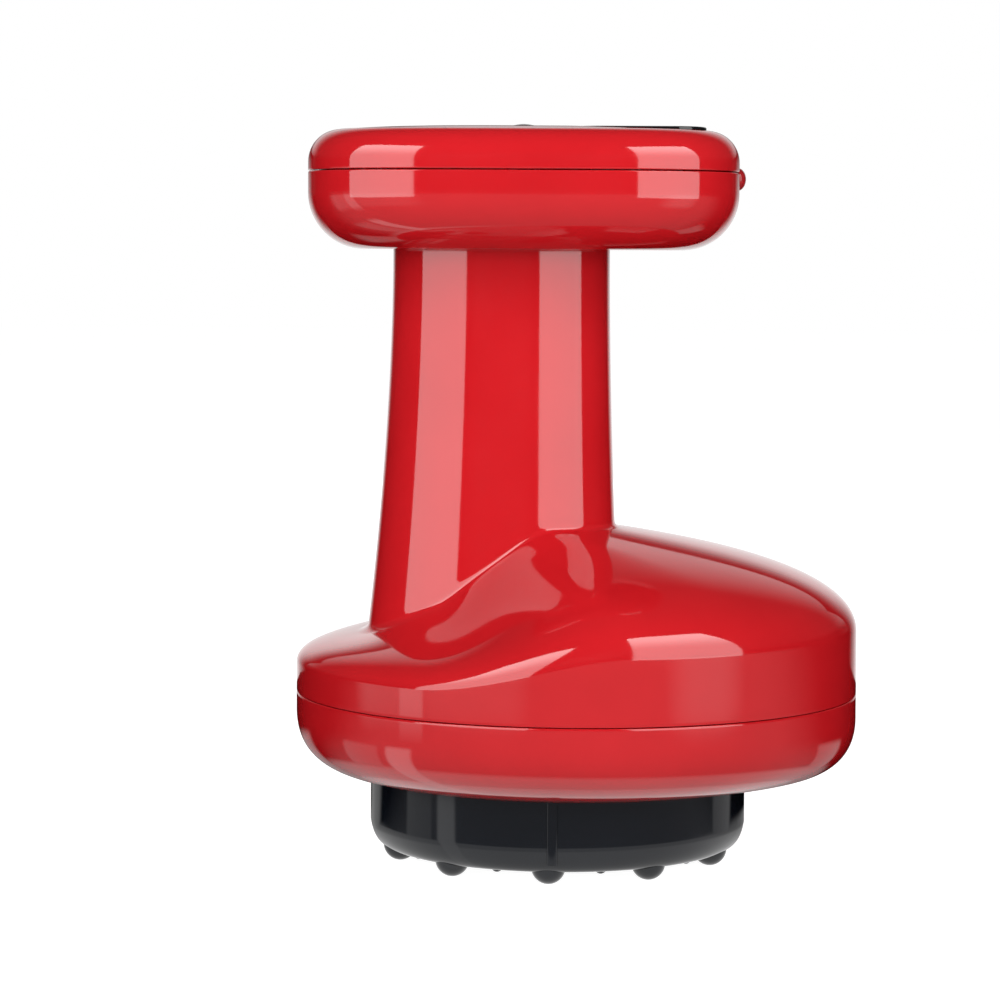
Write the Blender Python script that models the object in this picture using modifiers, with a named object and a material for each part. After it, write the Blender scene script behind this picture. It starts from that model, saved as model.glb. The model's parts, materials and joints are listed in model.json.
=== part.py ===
"""Electric cupping massager: a T-shaped hand-held suction cup in a red moulded case.

It stands on the beads of its black cup ring. Metres, +Z up. The origin is the centre of the round base, level
with the bead tips. The front faces -Y, and the long side of the head lies along X.
"""

import math

import bmesh
import bpy
from mathutils import Matrix, Vector

# Clearances and cuts
SEAT_GAP = 0.0003
RUN_GAP = 0.0003
CUT_OVERRUN = 0.001
MERGE_DISTANCE = 0.00001

# Facets
CASE_SIDES = 48
DOME_STEPS = 8
UNDERSIDE_STEPS = 8
CORNER_STEPS = 4
RING_SIDES = 60
INNER_SIDES = 24
SMALL_SIDES = 12

# Round base
SHELL_WALL = 0.0022
BASE_RADIUS = 0.0517
BASE_SEAM_HEIGHT = 0.0309
BASE_WALL_FOOT_LEFT_HEIGHT = 0.0274
BASE_WALL_FOOT_RIGHT_HEIGHT = 0.0263
BASE_WALL_CURL = 0.0092
LOW_SHOULDER_HEIGHT = 0.0362
HIGH_SHOULDER_HEIGHT = 0.0424
SHOULDER_RAMP_START = -0.0300
SHOULDER_RAMP_END = 0.0100
LEFT_SHOULDER_ROUND = 0.0042
LOW_SHOULDER_ROUND = 0.0070
HIGH_SHOULDER_ROUND = 0.0102
DOME_LOW_REACH_SHARE = 0.12
DOME_HIGH_REACH_SHARE = 0.5
DOME_LEFT_LIFT_SHARE = 0.3
DOME_LOW_LIFT_SHARE = -0.2
DOME_HIGH_LIFT_SHARE = 0.6
OPENING_EDGE_HEIGHT = 0.0161
OPENING_EDGE_RIGHT_DROP = 0.0015
OPENING_EDGE_SHARPNESS_SHARE = 8.0
UNDERSIDE_LEFT_REACH_SHARE = 0.43
UNDERSIDE_RIGHT_REACH_SHARE = 0.58

# Handle
HANDLE_CENTRE = -0.01415
HANDLE_HALF_WIDTH = 0.01995
HANDLE_HALF_DEPTH = 0.0136
HANDLE_SQUARENESS_SHARE = 2.3
HANDLE_LEFT_FLARE = 0.0045
HANDLE_RIGHT_FLARE = 0.0022
HANDLE_DEPTH_FLARE = 0.0024
HANDLE_FLARE_SHARE = 1.8
HANDLE_STEPS = 6
FOOT_LOW_HEIGHT = 0.0420
FOOT_HIGH_HEIGHT = 0.0612
FOOT_RAMP_END = -0.0105
FOOT_RAMP_PACE_SHARE = 0.88
FOOT_RAMP_POWER_SHARE = 1.3
FOOT_RAMP_BLEND_SHARE = 0.15

# Head
HEAD_CENTRE = -0.0102
HEAD_HALF_WIDTH = 0.03935
HEAD_HALF_DEPTH = 0.0290
HEAD_SQUARENESS_SHARE = 3.4
HEAD_TRAY_DEPTH = 0.0141
HEAD_COVER_RISE = 0.0084
HEAD_CROWN = 0.0009
HEAD_LOWER_ROUND = 0.0102
HEAD_UPPER_ROUND = 0.0056
HEAD_UPPER_DROP = 0.0058
HEAD_WALL = 0.0020
LIP_DEPTH = 0.0017
LIP_RISE = 0.0028
LIP_WALL = 0.0012
CABLE_WAY_HALF_WIDTH = 0.0130
CABLE_WAY_HALF_DEPTH = 0.0080

# Push button and the switch under it
BUTTON_RADIUS = 0.0040
BUTTON_CROWN_RADIUS = 0.0070
BUTTON_PROUD = 0.0006
BUTTON_CROWN_STEPS = 4
BUTTON_FLANGE = 0.0012
BUTTON_FLANGE_THICKNESS = 0.0010
BUTTON_STEM_RADIUS = 0.0017
BUTTON_TRAVEL = 0.0006
SWITCH_SIDE = 0.0060
SWITCH_BODY_HEIGHT = 0.0036
SWITCH_TIP_RADIUS = 0.0016
SWITCH_TIP_HEIGHT = 0.0005

# Black panel on the head, with the display under it
PANEL_CENTRE = 0.01045
PANEL_WIDTH = 0.0244
PANEL_DEPTH = 0.0360
PANEL_CORNER = 0.0060
PANEL_THICKNESS = 0.0010
PANEL_SINK = 0.0003
PANEL_LEDGE = 0.0032
DISPLAY_SIDE_CLEARANCE = 0.0010

# Red indicator dome at the right end of the head
INDICATOR_RADIUS = 0.0021
INDICATOR_PROUD = 0.0015
INDICATOR_BARREL_RADIUS = 0.0017
INDICATOR_DROP = 0.0010

# Cup ring and its beads
RING_CENTRE = -0.0033
BASE_OVERHANG = 0.01705
RING_WIDTH = 0.00775
RING_WALL = 0.00365
RING_SOCKET_HEIGHT = 0.0109
RING_TOP_HEIGHT = 0.0195
RING_FACE_HEIGHT = 0.0025
RING_EDGE_HEIGHT = 0.0068
RING_FACE_INSET = 0.0026
RING_EDGE_SHARES = ((0.0, 1.0), (0.12, 0.6), (0.45, 0.22), (1.0, 0.0))
RING_CLEARANCE = 0.00075
BEAD_COUNT = 10
BEAD_INSET = 0.00485
BEAD_RADIUS = 0.0031
BEAD_FLAT_DEPTH = 0.0003
BEAD_PHASE_DEG = -94.0
SMALL_BEAD_RADIUS = 0.00115
SMALL_BEAD_PROUD = 0.0008
RIB_COUNT = 3
RIB_PHASE_DEG = -92.5
RIB_WIDTH = 0.0019
RIB_PROUD = 0.00045
RIB_FOOT_HEIGHT = 0.0042
LUG_COUNT = 3
LUG_HEIGHT = 0.0017
LUG_WIDTH = 0.0120

# Cup plate: the ceiling of the cup, with the skirt that the ring locks on to
PLATE_MARGIN = 0.00385
PLATE_THICKNESS = 0.0020
GASKET_THICKNESS = 0.0010
SKIRT_WALL = 0.0020
SKIRT_LIFT = 0.0006
HOOK_WIDTH = 0.0140
HOOK_HEIGHT = 0.0017
HOOK_REACH = 0.0010
EAR_COUNT = 3
EAR_REACH = 0.0011
EAR_RADIUS = 0.0034
EAR_PHASE_DEG = 90.0
EAR_BOSS_RADIUS = 0.0028
EAR_BOSS_FOOT_HEIGHT = 0.0177
PORT_RADIUS = 0.0012
BARB_RADIUS = 0.0021
BARB_HEIGHT = 0.0039
FILTER_RADIUS = 0.0060
FILTER_THICKNESS = 0.0014
NECK_RISE = 0.0002

# Lamps over the cup
LAMP_COUNT = 8
LAMP_CIRCLE_RADIUS = 0.0130
LAMP_RADIUS = 0.0015
LAMP_REACH = 0.0018
LIGHT_BOARD_INNER_RADIUS = 0.0095
LIGHT_BOARD_RADIUS = 0.0165
LIGHT_BOARD_THICKNESS = 0.0012
LENS_RING_INNER_RADIUS = 0.0095
LENS_RING_RADIUS = 0.0170
LENS_RING_THICKNESS = 0.0012

# Screws: shaft radius, head radius, head height
SMALL_SHAFT = 0.0009
SMALL_HEAD = 0.0019
SMALL_HEAD_HEIGHT = 0.0012
LARGE_SHAFT = 0.0012
LARGE_HEAD = 0.0021
LARGE_HEAD_HEIGHT = 0.0016
SCREW_BITE = 0.0050

# Screw bosses between the two base shells
BASE_BOSS_COUNT = 4
BASE_BOSS_INSET = 0.0067
BASE_BOSS_RADIUS = 0.0031
BASE_BOSS_FOOT_HEIGHT = 0.0193
BASE_BOSS_PHASE_DEG = 45.0
BASE_BOSS_RISE = 0.0056
COUNTERBORE_HEIGHT = 0.0243
FIN_WIDTH = 0.0020

# Boards
BOARD_THICKNESS = 0.0016
POST_RADIUS = 0.0022
MAIN_BOARD_MARGIN = 0.0107
MAIN_BOARD_RIGHT = -0.0070
MAIN_BOARD_DEPTH = 0.0440
MAIN_BOARD_CORNER = 0.0060
BOARD_POST_RISE = 0.0076
POST_LEFT_INSET = 0.0060
POST_RIGHT_INSET = 0.0050
POST_LEFT_SPREAD = 0.0140
POST_RIGHT_SPREAD = 0.0170
CHIP_SIDE = 0.0080
CHIP_HEIGHT = 0.0012
CONTROL_BOARD_LENGTH = 0.0620
CONTROL_BOARD_DEPTH = 0.0440
CONTROL_BOARD_CORNER = 0.0120
CONTROL_BOARD_DROP = 0.0020
CONTROL_POST_SPREAD = 0.0240
CONTROL_POST_DEPTH = 0.0140

# Vacuum pump
PUMP_INSET = 0.0307
PUMP_LIFT = 0.0029
MOTOR_RADIUS = 0.0100
MOTOR_FRONT = -0.0130
MOTOR_LENGTH = 0.0250
SHAFT_RADIUS = 0.0010
SHAFT_SOCKET_DEPTH = 0.0080
ECCENTRIC_RADIUS = 0.0045
ECCENTRIC_THROW = 0.0013
ECCENTRIC_THICKNESS = 0.0030
PUMP_HEAD_SIDE = 0.0200
PUMP_HEAD_LENGTH = 0.0127
CHAMBER_RADIUS = 0.0075
CHAMBER_DEPTH = 0.0070
DIAPHRAGM_RADIUS = 0.0047
DIAPHRAGM_THICKNESS = 0.0015
DIAPHRAGM_STEM_RADIUS = 0.0015
PUMP_LID_THICKNESS = 0.0030
NIPPLE_RADIUS = 0.0014
NIPPLE_LENGTH = 0.0040
CRADLE_HALF_WIDTH = 0.0065
CRADLE_HALF_DEPTH = 0.0090
CRADLE_TOP_DROP = 0.0040

# Suction hose
HOSE_RADIUS = 0.0021
HOSE_SAMPLES = 9
HOSE_END_LENGTH = 0.0005
HOSE_BEND = 0.0033
HOSE_BEND_SHARE = 0.55
HOSE_RISE_RUN = 0.0065
HOSE_END_RUN = 0.0075

# Air release valve
VALVE_INSET = 0.0029
VALVE_AZIMUTH_DEG = -60.0
VALVE_RADIUS = 0.0050
VALVE_HEIGHT = 0.0150
PLUNGER_RADIUS = 0.0018
PLUNGER_DEPTH = 0.0080
PLUNGER_HEAD_RADIUS = 0.0030
PLUNGER_HEAD_THICKNESS = 0.0012
VALVE_SPRING_LENGTH = 0.0044
VALVE_SPRING_WALL = 0.0006

# Battery
CELL_RADIUS = 0.00915
CELL_LENGTH = 0.0650
CELL_TIP_RADIUS = 0.0035
CELL_TIP_HEIGHT = 0.0012
CELL_HEADROOM = 0.0056
HOLDER_WALL = 0.00085
HOLDER_CLEARANCE = 0.0042
HOLDER_FLOOR = 0.0020
HOLDER_LENGTH = 0.0420
HOLDER_FIN_WIDTH = 0.0030
HOLDER_FIN_HALF_DEPTH = 0.0108

# Screw bosses at the top of the handle
HANDLE_BOSS_SPREAD = 0.0154
HANDLE_BOSS_RADIUS = 0.0030
HANDLE_BOSS_LENGTH = 0.0118

# Flat cable
RIBBON_HALF_WIDTH = 0.0030
RIBBON_THICKNESS = 0.0004
RIBBON_ROUTE = ((-0.0096, 0.0331), (-0.0068, 0.0332), (-0.0044, 0.0342), (-0.0034, 0.0364), (-0.0031, 0.0390))

# Charging socket
SOCKET_WIDTH = 0.0089
SOCKET_HEIGHT = 0.0032
SOCKET_LENGTH = 0.0085
SOCKET_WALL = 0.0004
SOCKET_TONGUE_HALF_WIDTH = 0.0033
SOCKET_TONGUE_THICKNESS = 0.0007
SOCKET_BACK = 0.0020

# Heights and places that follow from the sizes above
PLATE_UNDER_HEIGHT = RING_TOP_HEIGHT + SEAT_GAP + GASKET_THICKNESS + SEAT_GAP
PLATE_TOP_HEIGHT = PLATE_UNDER_HEIGHT + PLATE_THICKNESS
PUMP_AXIS_HEIGHT = PLATE_TOP_HEIGHT + PUMP_LIFT + MOTOR_RADIUS
MAIN_BOARD_POST_HEIGHT = PLATE_TOP_HEIGHT + BOARD_POST_RISE
HOLDER_FOOT_HEIGHT = MAIN_BOARD_POST_HEIGHT + SEAT_GAP + BOARD_THICKNESS + CHIP_HEIGHT + HOLDER_CLEARANCE
HEAD_FLOOR_HEIGHT = (
    HOLDER_FOOT_HEIGHT + HOLDER_FLOOR + SEAT_GAP + CELL_LENGTH + CELL_TIP_HEIGHT + CELL_HEADROOM
)
HEAD_SEAM_HEIGHT = HEAD_FLOOR_HEIGHT + HEAD_TRAY_DEPTH
HEAD_TOP_HEIGHT = HEAD_SEAM_HEIGHT + HEAD_COVER_RISE
BUTTON_TOP_HEIGHT = HEAD_TOP_HEIGHT + BUTTON_PROUD
INDICATOR_HEIGHT = HEAD_SEAM_HEIGHT - INDICATOR_DROP
CONTROL_BOARD_HEIGHT = HEAD_SEAM_HEIGHT - CONTROL_BOARD_DROP
RING_RADIUS = BASE_RADIUS - BASE_OVERHANG
RING_INNER_RADIUS = RING_RADIUS - RING_WIDTH
RING_SOCKET_RADIUS = RING_RADIUS - RING_WALL
BEAD_CIRCLE_RADIUS = RING_RADIUS - BEAD_INSET
SKIRT_RADIUS = RING_INNER_RADIUS + SKIRT_WALL
PLATE_RADIUS = RING_RADIUS + PLATE_MARGIN
EAR_CIRCLE_RADIUS = PLATE_RADIUS + EAR_REACH
BASE_BOSS_CIRCLE_RADIUS = BASE_RADIUS - BASE_BOSS_INSET
MAIN_BOARD_LEFT = MAIN_BOARD_MARGIN - BASE_RADIUS
MAIN_BOARD_LENGTH = MAIN_BOARD_RIGHT - MAIN_BOARD_LEFT
MAIN_BOARD_CENTRE = (MAIN_BOARD_LEFT + MAIN_BOARD_RIGHT) / 2
MAIN_BOARD_POSTS = (
    (MAIN_BOARD_LEFT + POST_LEFT_INSET, -POST_LEFT_SPREAD),
    (MAIN_BOARD_LEFT + POST_LEFT_INSET, POST_LEFT_SPREAD),
    (MAIN_BOARD_RIGHT - POST_RIGHT_INSET, -POST_RIGHT_SPREAD),
    (MAIN_BOARD_RIGHT - POST_RIGHT_INSET, POST_RIGHT_SPREAD),
)
PUMP_CENTRE = BASE_RADIUS - PUMP_INSET
VALVE_CIRCLE_RADIUS = RING_INNER_RADIUS - VALVE_INSET
NECK_RADIUS = RING_RADIUS + RING_CLEARANCE
NECK_TOP_HEIGHT = PLATE_UNDER_HEIGHT - SEAT_GAP
SKIRT_FOOT_HEIGHT = RING_SOCKET_HEIGHT + SKIRT_LIFT
FOOT_RAMP_START = HANDLE_CENTRE - HANDLE_HALF_WIDTH - HANDLE_LEFT_FLARE
CONTROL_BOARD_TOP = CONTROL_BOARD_HEIGHT + BOARD_THICKNESS
HANDLE_TOP_HEIGHT = HEAD_FLOOR_HEIGHT - SEAT_GAP
PANEL_UNDER_HEIGHT = HEAD_TOP_HEIGHT - PANEL_SINK - PANEL_THICKNESS
SWITCH_TOP_HEIGHT = CONTROL_BOARD_TOP + SEAT_GAP + SWITCH_BODY_HEIGHT + SWITCH_TIP_HEIGHT
VALVE_CENTRE = RING_CENTRE + VALVE_CIRCLE_RADIUS * math.cos(math.radians(VALVE_AZIMUTH_DEG))
VALVE_DEPTH = VALVE_CIRCLE_RADIUS * math.sin(math.radians(VALVE_AZIMUTH_DEG))
VALVE_TOP_HEIGHT = PLATE_TOP_HEIGHT + SEAT_GAP + VALVE_HEIGHT
MOTOR_BACK = MOTOR_FRONT + MOTOR_LENGTH
PUMP_HEAD_FRONT = MOTOR_BACK + SEAT_GAP
PUMP_HEAD_TOP = PUMP_AXIS_HEIGHT + PUMP_HEAD_SIDE / 2


# Collections and materials

PARTS = None
CUTTERS = None


def clear_scene():
    for item in list(bpy.data.objects):
        bpy.data.objects.remove(item, do_unlink=True)


def make_collection(name):
    collection = bpy.data.collections.new(name)
    bpy.context.scene.collection.children.link(collection)
    return collection


def make_material(name, colour, roughness, metallic=0.0):
    material = bpy.data.materials.new(name)
    material.use_nodes = True
    shader = material.node_tree.nodes["Principled BSDF"]
    shader.inputs["Base Color"].default_value = (*colour, 1.0)
    shader.inputs["Roughness"].default_value = roughness
    shader.inputs["Metallic"].default_value = metallic
    material.diffuse_color = (*colour, 1.0)
    return material


# Making objects

def add_object(name, mesh, material):
    """An object of the part, smooth but for its sharp corners."""
    mesh.shade_smooth()
    mesh.set_sharp_from_angle(angle=math.radians(35))
    item = bpy.data.objects.new(name, mesh)
    item.data.materials.append(material)
    PARTS.objects.link(item)
    return item


def mesh_from(name, shape):
    """The finished mesh of a bmesh, which is freed."""
    bmesh.ops.recalc_face_normals(shape, faces=shape.faces)
    mesh = bpy.data.meshes.new(name)
    shape.to_mesh(mesh)
    shape.free()
    return mesh


def add_tool(name, mesh):
    """A cutter or a piece to be joined, which is no part of the object."""
    tool = bpy.data.objects.new(name, mesh)
    tool.display_type = "WIRE"
    tool.hide_render = True
    CUTTERS.objects.link(tool)
    return tool


def boolean(item, tool, operation, solver="EXACT"):
    modifier = item.modifiers.new(tool.name, "BOOLEAN")
    modifier.operation = operation
    modifier.object = tool
    modifier.solver = solver


def cut(item, name, *shapes, solver="EXACT"):
    """Cuts each bmesh from the item."""
    for number, shape in enumerate(shapes):
        tool = f"{name}_{number}"
        boolean(item, add_tool(tool, mesh_from(tool, shape)), "DIFFERENCE", solver)


def join(item, name, *shapes, solver="EXACT"):
    """Joins each bmesh to the item."""
    for number, shape in enumerate(shapes):
        tool = f"{name}_{number}"
        boolean(item, add_tool(tool, mesh_from(tool, shape)), "UNION", solver)


# Simple shapes, each added to a bmesh

def cylinder(start, end, radius, sides=SMALL_SIDES, into=None):
    shape = into or bmesh.new()
    axis = Vector(end) - Vector(start)
    turn = axis.to_track_quat("Z", "Y").to_matrix().to_4x4()
    place = Matrix.Translation((Vector(start) + Vector(end)) / 2) @ turn
    bmesh.ops.create_cone(
        shape, cap_ends=True, segments=sides, radius1=radius, radius2=radius, depth=axis.length, matrix=place
    )
    return shape


def upright(x, y, foot, top, radius, sides=SMALL_SIDES, into=None):
    return cylinder((x, y, foot), (x, y, top), radius, sides, into)


def block(low, high, into=None):
    shape = into or bmesh.new()
    low, high = Vector(low), Vector(high)
    place = Matrix.Translation((low + high) / 2) @ Matrix.Diagonal((*(high - low), 1.0))
    bmesh.ops.create_cube(shape, size=1.0, matrix=place)
    return shape


def radial_block(centre, azimuth, inner, outer, width, foot, top):
    """A block that points outwards from an upright axis at x = centre."""
    shape = block((inner, -width / 2, foot), (outer, width / 2, top))
    place = Matrix.Translation((centre, 0.0, 0.0)) @ Matrix.Rotation(azimuth, 4, "Z")
    bmesh.ops.transform(shape, matrix=place, verts=shape.verts)
    return shape


def on_circle(centre, radius, azimuth):
    return centre + radius * math.cos(azimuth), radius * math.sin(azimuth)


def azimuths(count, phase_deg):
    return [math.radians(phase_deg) + math.tau * step / count for step in range(count)]


# Turned, flat and lofted pieces

def outline_runs_backwards(outline):
    """True where a closed outline would turn into a solid that is inside out."""
    following = outline[1:] + outline[:1]
    return sum(a[0] * b[1] - b[0] * a[1] for a, b in zip(outline, following)) > 0


def turned_mesh(name, outline, closed):
    points = list(outline)
    if closed and outline_runs_backwards(points):
        points.reverse()
    edges = [(step, step + 1) for step in range(len(points) - 1)]
    if closed:
        edges.append((len(points) - 1, 0))
    mesh = bpy.data.meshes.new(name)
    mesh.from_pydata([(radius, 0.0, height) for radius, height in points], edges, [])
    return mesh


def turned(name, outline, material, centre=(0.0, 0.0), closed=True, sides=INNER_SIDES):
    """A piece turned about an upright axis. An open outline runs from its top on the axis to its foot there."""
    item = add_object(name, turned_mesh(name, outline, closed), material)
    item.location = (centre[0], centre[1], 0.0)
    screw = item.modifiers.new("Turning", "SCREW")
    screw.steps = sides
    screw.render_steps = sides
    screw.use_merge_vertices = not closed
    screw.merge_threshold = MERGE_DISTANCE
    screw.use_smooth_shade = True
    return item


def rounded_outline(width, depth, corner, corner_steps=3):
    """Points round a rectangle with rounded corners, about the origin."""
    points = []
    for quarter in range(4):
        sign_x = (1, -1, -1, 1)[quarter]
        sign_y = (1, 1, -1, -1)[quarter]
        for step in range(corner_steps + 1):
            angle = math.pi / 2 * (quarter + step / corner_steps)
            x = sign_x * (width / 2 - corner) + corner * math.cos(angle)
            y = sign_y * (depth / 2 - corner) + corner * math.sin(angle)
            points.append((x, y))
    return points


def prism(outline, foot, top, centre=(0.0, 0.0)):
    """A closed prism on a flat outline."""
    shape = bmesh.new()
    corners = [shape.verts.new((x + centre[0], y + centre[1], foot)) for x, y in outline]
    face = shape.faces.new(corners)
    raised = bmesh.ops.extrude_face_region(shape, geom=[face])
    moved = [item for item in raised["geom"] if isinstance(item, bmesh.types.BMVert)]
    bmesh.ops.translate(shape, vec=(0.0, 0.0, top - foot), verts=moved)
    return shape


def loft_mesh(name, rings, close_path=False):
    """A skin over rings of as many points each, facing out where the rings run anticlockwise and upwards."""
    count = len(rings[0])
    points = [point for ring in rings for point in ring]
    pairs = len(rings) if close_path else len(rings) - 1
    faces = []
    for row in range(pairs):
        here = row * count
        above = (row + 1) % len(rings) * count
        for side in range(count):
            after = (side + 1) % count
            faces.append((here + side, here + after, above + after, above + side))
    mesh = bpy.data.meshes.new(name)
    mesh.from_pydata(points, [], faces)
    return mesh


def shell(name, rings, wall, material):
    """A moulded wall behind a lofted outer skin."""
    item = add_object(name, loft_mesh(name, rings), material)
    solidify = item.modifiers.new("Wall", "SOLIDIFY")
    solidify.thickness = wall
    solidify.offset = -1.0
    solidify.use_even_offset = True
    solidify.use_quality_normals = True
    return item


# Curves of the case

def polar_reach(angle, half_width, half_depth, squareness):
    """How far a rounded section reaches from its centre in one direction."""
    across = (abs(math.cos(angle)) / half_width) ** squareness
    along = (abs(math.sin(angle)) / half_depth) ** squareness
    return (across + along) ** (-1.0 / squareness)


def smooth_step(value, start, end):
    share = min(max((value - start) / (end - start), 0.0), 1.0)
    return share * share * (3.0 - 2.0 * share)


def mix(first, second, share):
    return first + (second - first) * share


def smooth_minimum(first, second, blend):
    share = min(max(0.5 + 0.5 * (second - first) / blend, 0.0), 1.0)
    return mix(second, first, share) - blend * share * (1.0 - share)


def bezier(first, second, third, fourth, share):
    rest = 1.0 - share
    start = first * rest**3 + second * (3.0 * rest * rest * share)
    return start + third * (3.0 * rest * share * share) + fourth * share**3


def side_angles():
    return [math.tau * side / CASE_SIDES for side in range(CASE_SIDES)]


def handle_point(angle, height):
    """A point of the handle's outer skin, which flares towards its foot."""
    drop = (HEAD_FLOOR_HEIGHT - height) / (HEAD_FLOOR_HEIGHT - FOOT_LOW_HEIGHT)
    flare = max(drop, 0.0) ** HANDLE_FLARE_SHARE
    left = HANDLE_CENTRE - HANDLE_HALF_WIDTH - HANDLE_LEFT_FLARE * flare
    right = HANDLE_CENTRE + HANDLE_HALF_WIDTH + HANDLE_RIGHT_FLARE * flare
    half_depth = HANDLE_HALF_DEPTH + HANDLE_DEPTH_FLARE * flare
    reach = polar_reach(angle, (right - left) / 2, half_depth, HANDLE_SQUARENESS_SHARE)
    return Vector(((left + right) / 2 + reach * math.cos(angle), reach * math.sin(angle), height))


def foot_height(x):
    """The height at which the handle meets the base: low on the left, high on the right."""
    share = (x - FOOT_RAMP_START) / (FOOT_RAMP_END - FOOT_RAMP_START)
    pace = max(share, 0.0) ** FOOT_RAMP_POWER_SHARE * FOOT_RAMP_PACE_SHARE
    climb = smooth_minimum(pace, 1.0, FOOT_RAMP_BLEND_SHARE)
    return mix(FOOT_LOW_HEIGHT, FOOT_HIGH_HEIGHT, climb)


def foot_point(angle):
    point = handle_point(angle, FOOT_HIGH_HEIGHT)
    for _ in range(CORNER_STEPS):
        point = handle_point(angle, foot_height(point.x))
    return point


def dome_point(angle, share):
    """A point of the base top, from the rim of its side wall at share 0 to the handle at share 1."""
    foot = foot_point(angle)
    rim = Vector((BASE_RADIUS * math.cos(angle), BASE_RADIUS * math.sin(angle), 0.0))
    ramp = smooth_step(rim.x, SHOULDER_RAMP_START, SHOULDER_RAMP_END)
    rim.z = mix(LOW_SHOULDER_HEIGHT, HIGH_SHOULDER_HEIGHT, ramp)
    front = math.sin(angle) ** 2
    rounding = mix(mix(LEFT_SHOULDER_ROUND, LOW_SHOULDER_ROUND, front), HIGH_SHOULDER_ROUND, ramp)
    shoulder = rim + Vector((0.0, 0.0, rounding))
    last = foot + (shoulder - foot) * mix(DOME_LOW_REACH_SHARE, DOME_HIGH_REACH_SHARE, ramp)
    lift = mix(mix(DOME_LEFT_LIFT_SHARE, DOME_LOW_LIFT_SHARE, front), DOME_HIGH_LIFT_SHARE, ramp)
    last.z = mix(shoulder.z, foot.z, lift)
    return bezier(rim, shoulder, last, foot, share)


def body_rings():
    angles = side_angles()
    seam = BASE_SEAM_HEIGHT + SEAT_GAP / 2
    rings = [[(BASE_RADIUS * math.cos(angle), BASE_RADIUS * math.sin(angle), seam) for angle in angles]]
    for step in range(DOME_STEPS + 1):
        share = (step / DOME_STEPS) ** 0.8
        rings.append([dome_point(angle, share) for angle in angles])
    for step in range(1, HANDLE_STEPS + 1):
        share = (step / HANDLE_STEPS) ** 1.5
        rings.append([handle_point(angle, mix(foot_point(angle).z, HANDLE_TOP_HEIGHT, share)) for angle in angles])
    return rings


def opening_edge_height(angle):
    """The lower edge of the base round the cup ring: it dips at the right."""
    dip = max(math.cos(angle), 0.0) ** OPENING_EDGE_SHARPNESS_SHARE
    return OPENING_EDGE_HEIGHT - OPENING_EDGE_RIGHT_DROP * dip


def underside_point(angle, share):
    """A point of the base underside, from the opening at share 0 to the side wall at share 1."""
    x, y = on_circle(RING_CENTRE, NECK_RADIUS, angle)
    edge = Vector((x, y, opening_edge_height(angle)))
    right = (1.0 + math.cos(angle)) / 2
    foot = mix(BASE_WALL_FOOT_LEFT_HEIGHT, BASE_WALL_FOOT_RIGHT_HEIGHT, right)
    rim = Vector((BASE_RADIUS * math.cos(angle), BASE_RADIUS * math.sin(angle), foot))
    run = Vector((rim.x - edge.x, rim.y - edge.y, 0.0))
    run *= mix(UNDERSIDE_LEFT_REACH_SHARE, UNDERSIDE_RIGHT_REACH_SHARE, right)
    return bezier(edge, edge + run, rim - Vector((0.0, 0.0, BASE_WALL_CURL)), rim, share)


def lower_base_rings():
    angles = side_angles()
    neck = [on_circle(RING_CENTRE, NECK_RADIUS, angle) for angle in angles]
    rings = [[(x, y, NECK_TOP_HEIGHT) for x, y in neck]]
    for step in range(UNDERSIDE_STEPS + 1):
        rings.append([underside_point(angle, step / UNDERSIDE_STEPS) for angle in angles])
    seam = BASE_SEAM_HEIGHT - SEAT_GAP / 2
    rings.append([(BASE_RADIUS * math.cos(angle), BASE_RADIUS * math.sin(angle), seam) for angle in angles])
    return rings


def head_ring(inset, height, angles):
    ring = []
    for angle in angles:
        reach = polar_reach(angle, HEAD_HALF_WIDTH - inset, HEAD_HALF_DEPTH - inset, HEAD_SQUARENESS_SHARE)
        ring.append((HEAD_CENTRE + reach * math.cos(angle), reach * math.sin(angle), height))
    return ring


def lower_head_rings():
    angles = side_angles()
    way = []
    for angle in angles:
        reach = polar_reach(angle, CABLE_WAY_HALF_WIDTH, CABLE_WAY_HALF_DEPTH, 2.0)
        way.append((HANDLE_CENTRE + reach * math.cos(angle), reach * math.sin(angle), HEAD_FLOOR_HEIGHT))
    rings = [way]
    for step in range(CORNER_STEPS + 1):
        turn = math.pi / 2 * step / CORNER_STEPS
        inset = HEAD_LOWER_ROUND * (1.0 - math.sin(turn))
        height = HEAD_FLOOR_HEIGHT + HEAD_LOWER_ROUND * (1.0 - math.cos(turn))
        rings.append(head_ring(inset, height, angles))
    rings.append(head_ring(0.0, HEAD_SEAM_HEIGHT - SEAT_GAP / 2, angles))
    return rings


def crown_drop(reach_share):
    """How far the top of the head has fallen below its middle."""
    return HEAD_CROWN * reach_share**3


def upper_head_rings():
    angles = side_angles()
    rings = [head_ring(0.0, HEAD_SEAM_HEIGHT + SEAT_GAP / 2, angles)]
    edge_height = HEAD_TOP_HEIGHT - HEAD_CROWN
    for step in range(CORNER_STEPS + 1):
        turn = math.pi / 2 * step / CORNER_STEPS
        inset = HEAD_UPPER_ROUND * (1.0 - math.cos(turn))
        rings.append(head_ring(inset, edge_height - HEAD_UPPER_DROP * (1.0 - math.sin(turn)), angles))
    for share in (0.75, 0.5):
        ring = []
        for angle in angles:
            width = (HEAD_HALF_WIDTH - HEAD_UPPER_ROUND) * share
            depth = (HEAD_HALF_DEPTH - HEAD_UPPER_ROUND) * share
            reach = polar_reach(angle, width, depth, HEAD_SQUARENESS_SHARE)
            x, y = on_circle(HEAD_CENTRE, reach, angle)
            ring.append((x, y, HEAD_TOP_HEIGHT - crown_drop(share)))
        rings.append(ring)
    hole = BUTTON_RADIUS + RUN_GAP
    rings.append([(*on_circle(HEAD_CENTRE, hole, angle), HEAD_TOP_HEIGHT) for angle in angles])
    return rings


# Case

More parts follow.
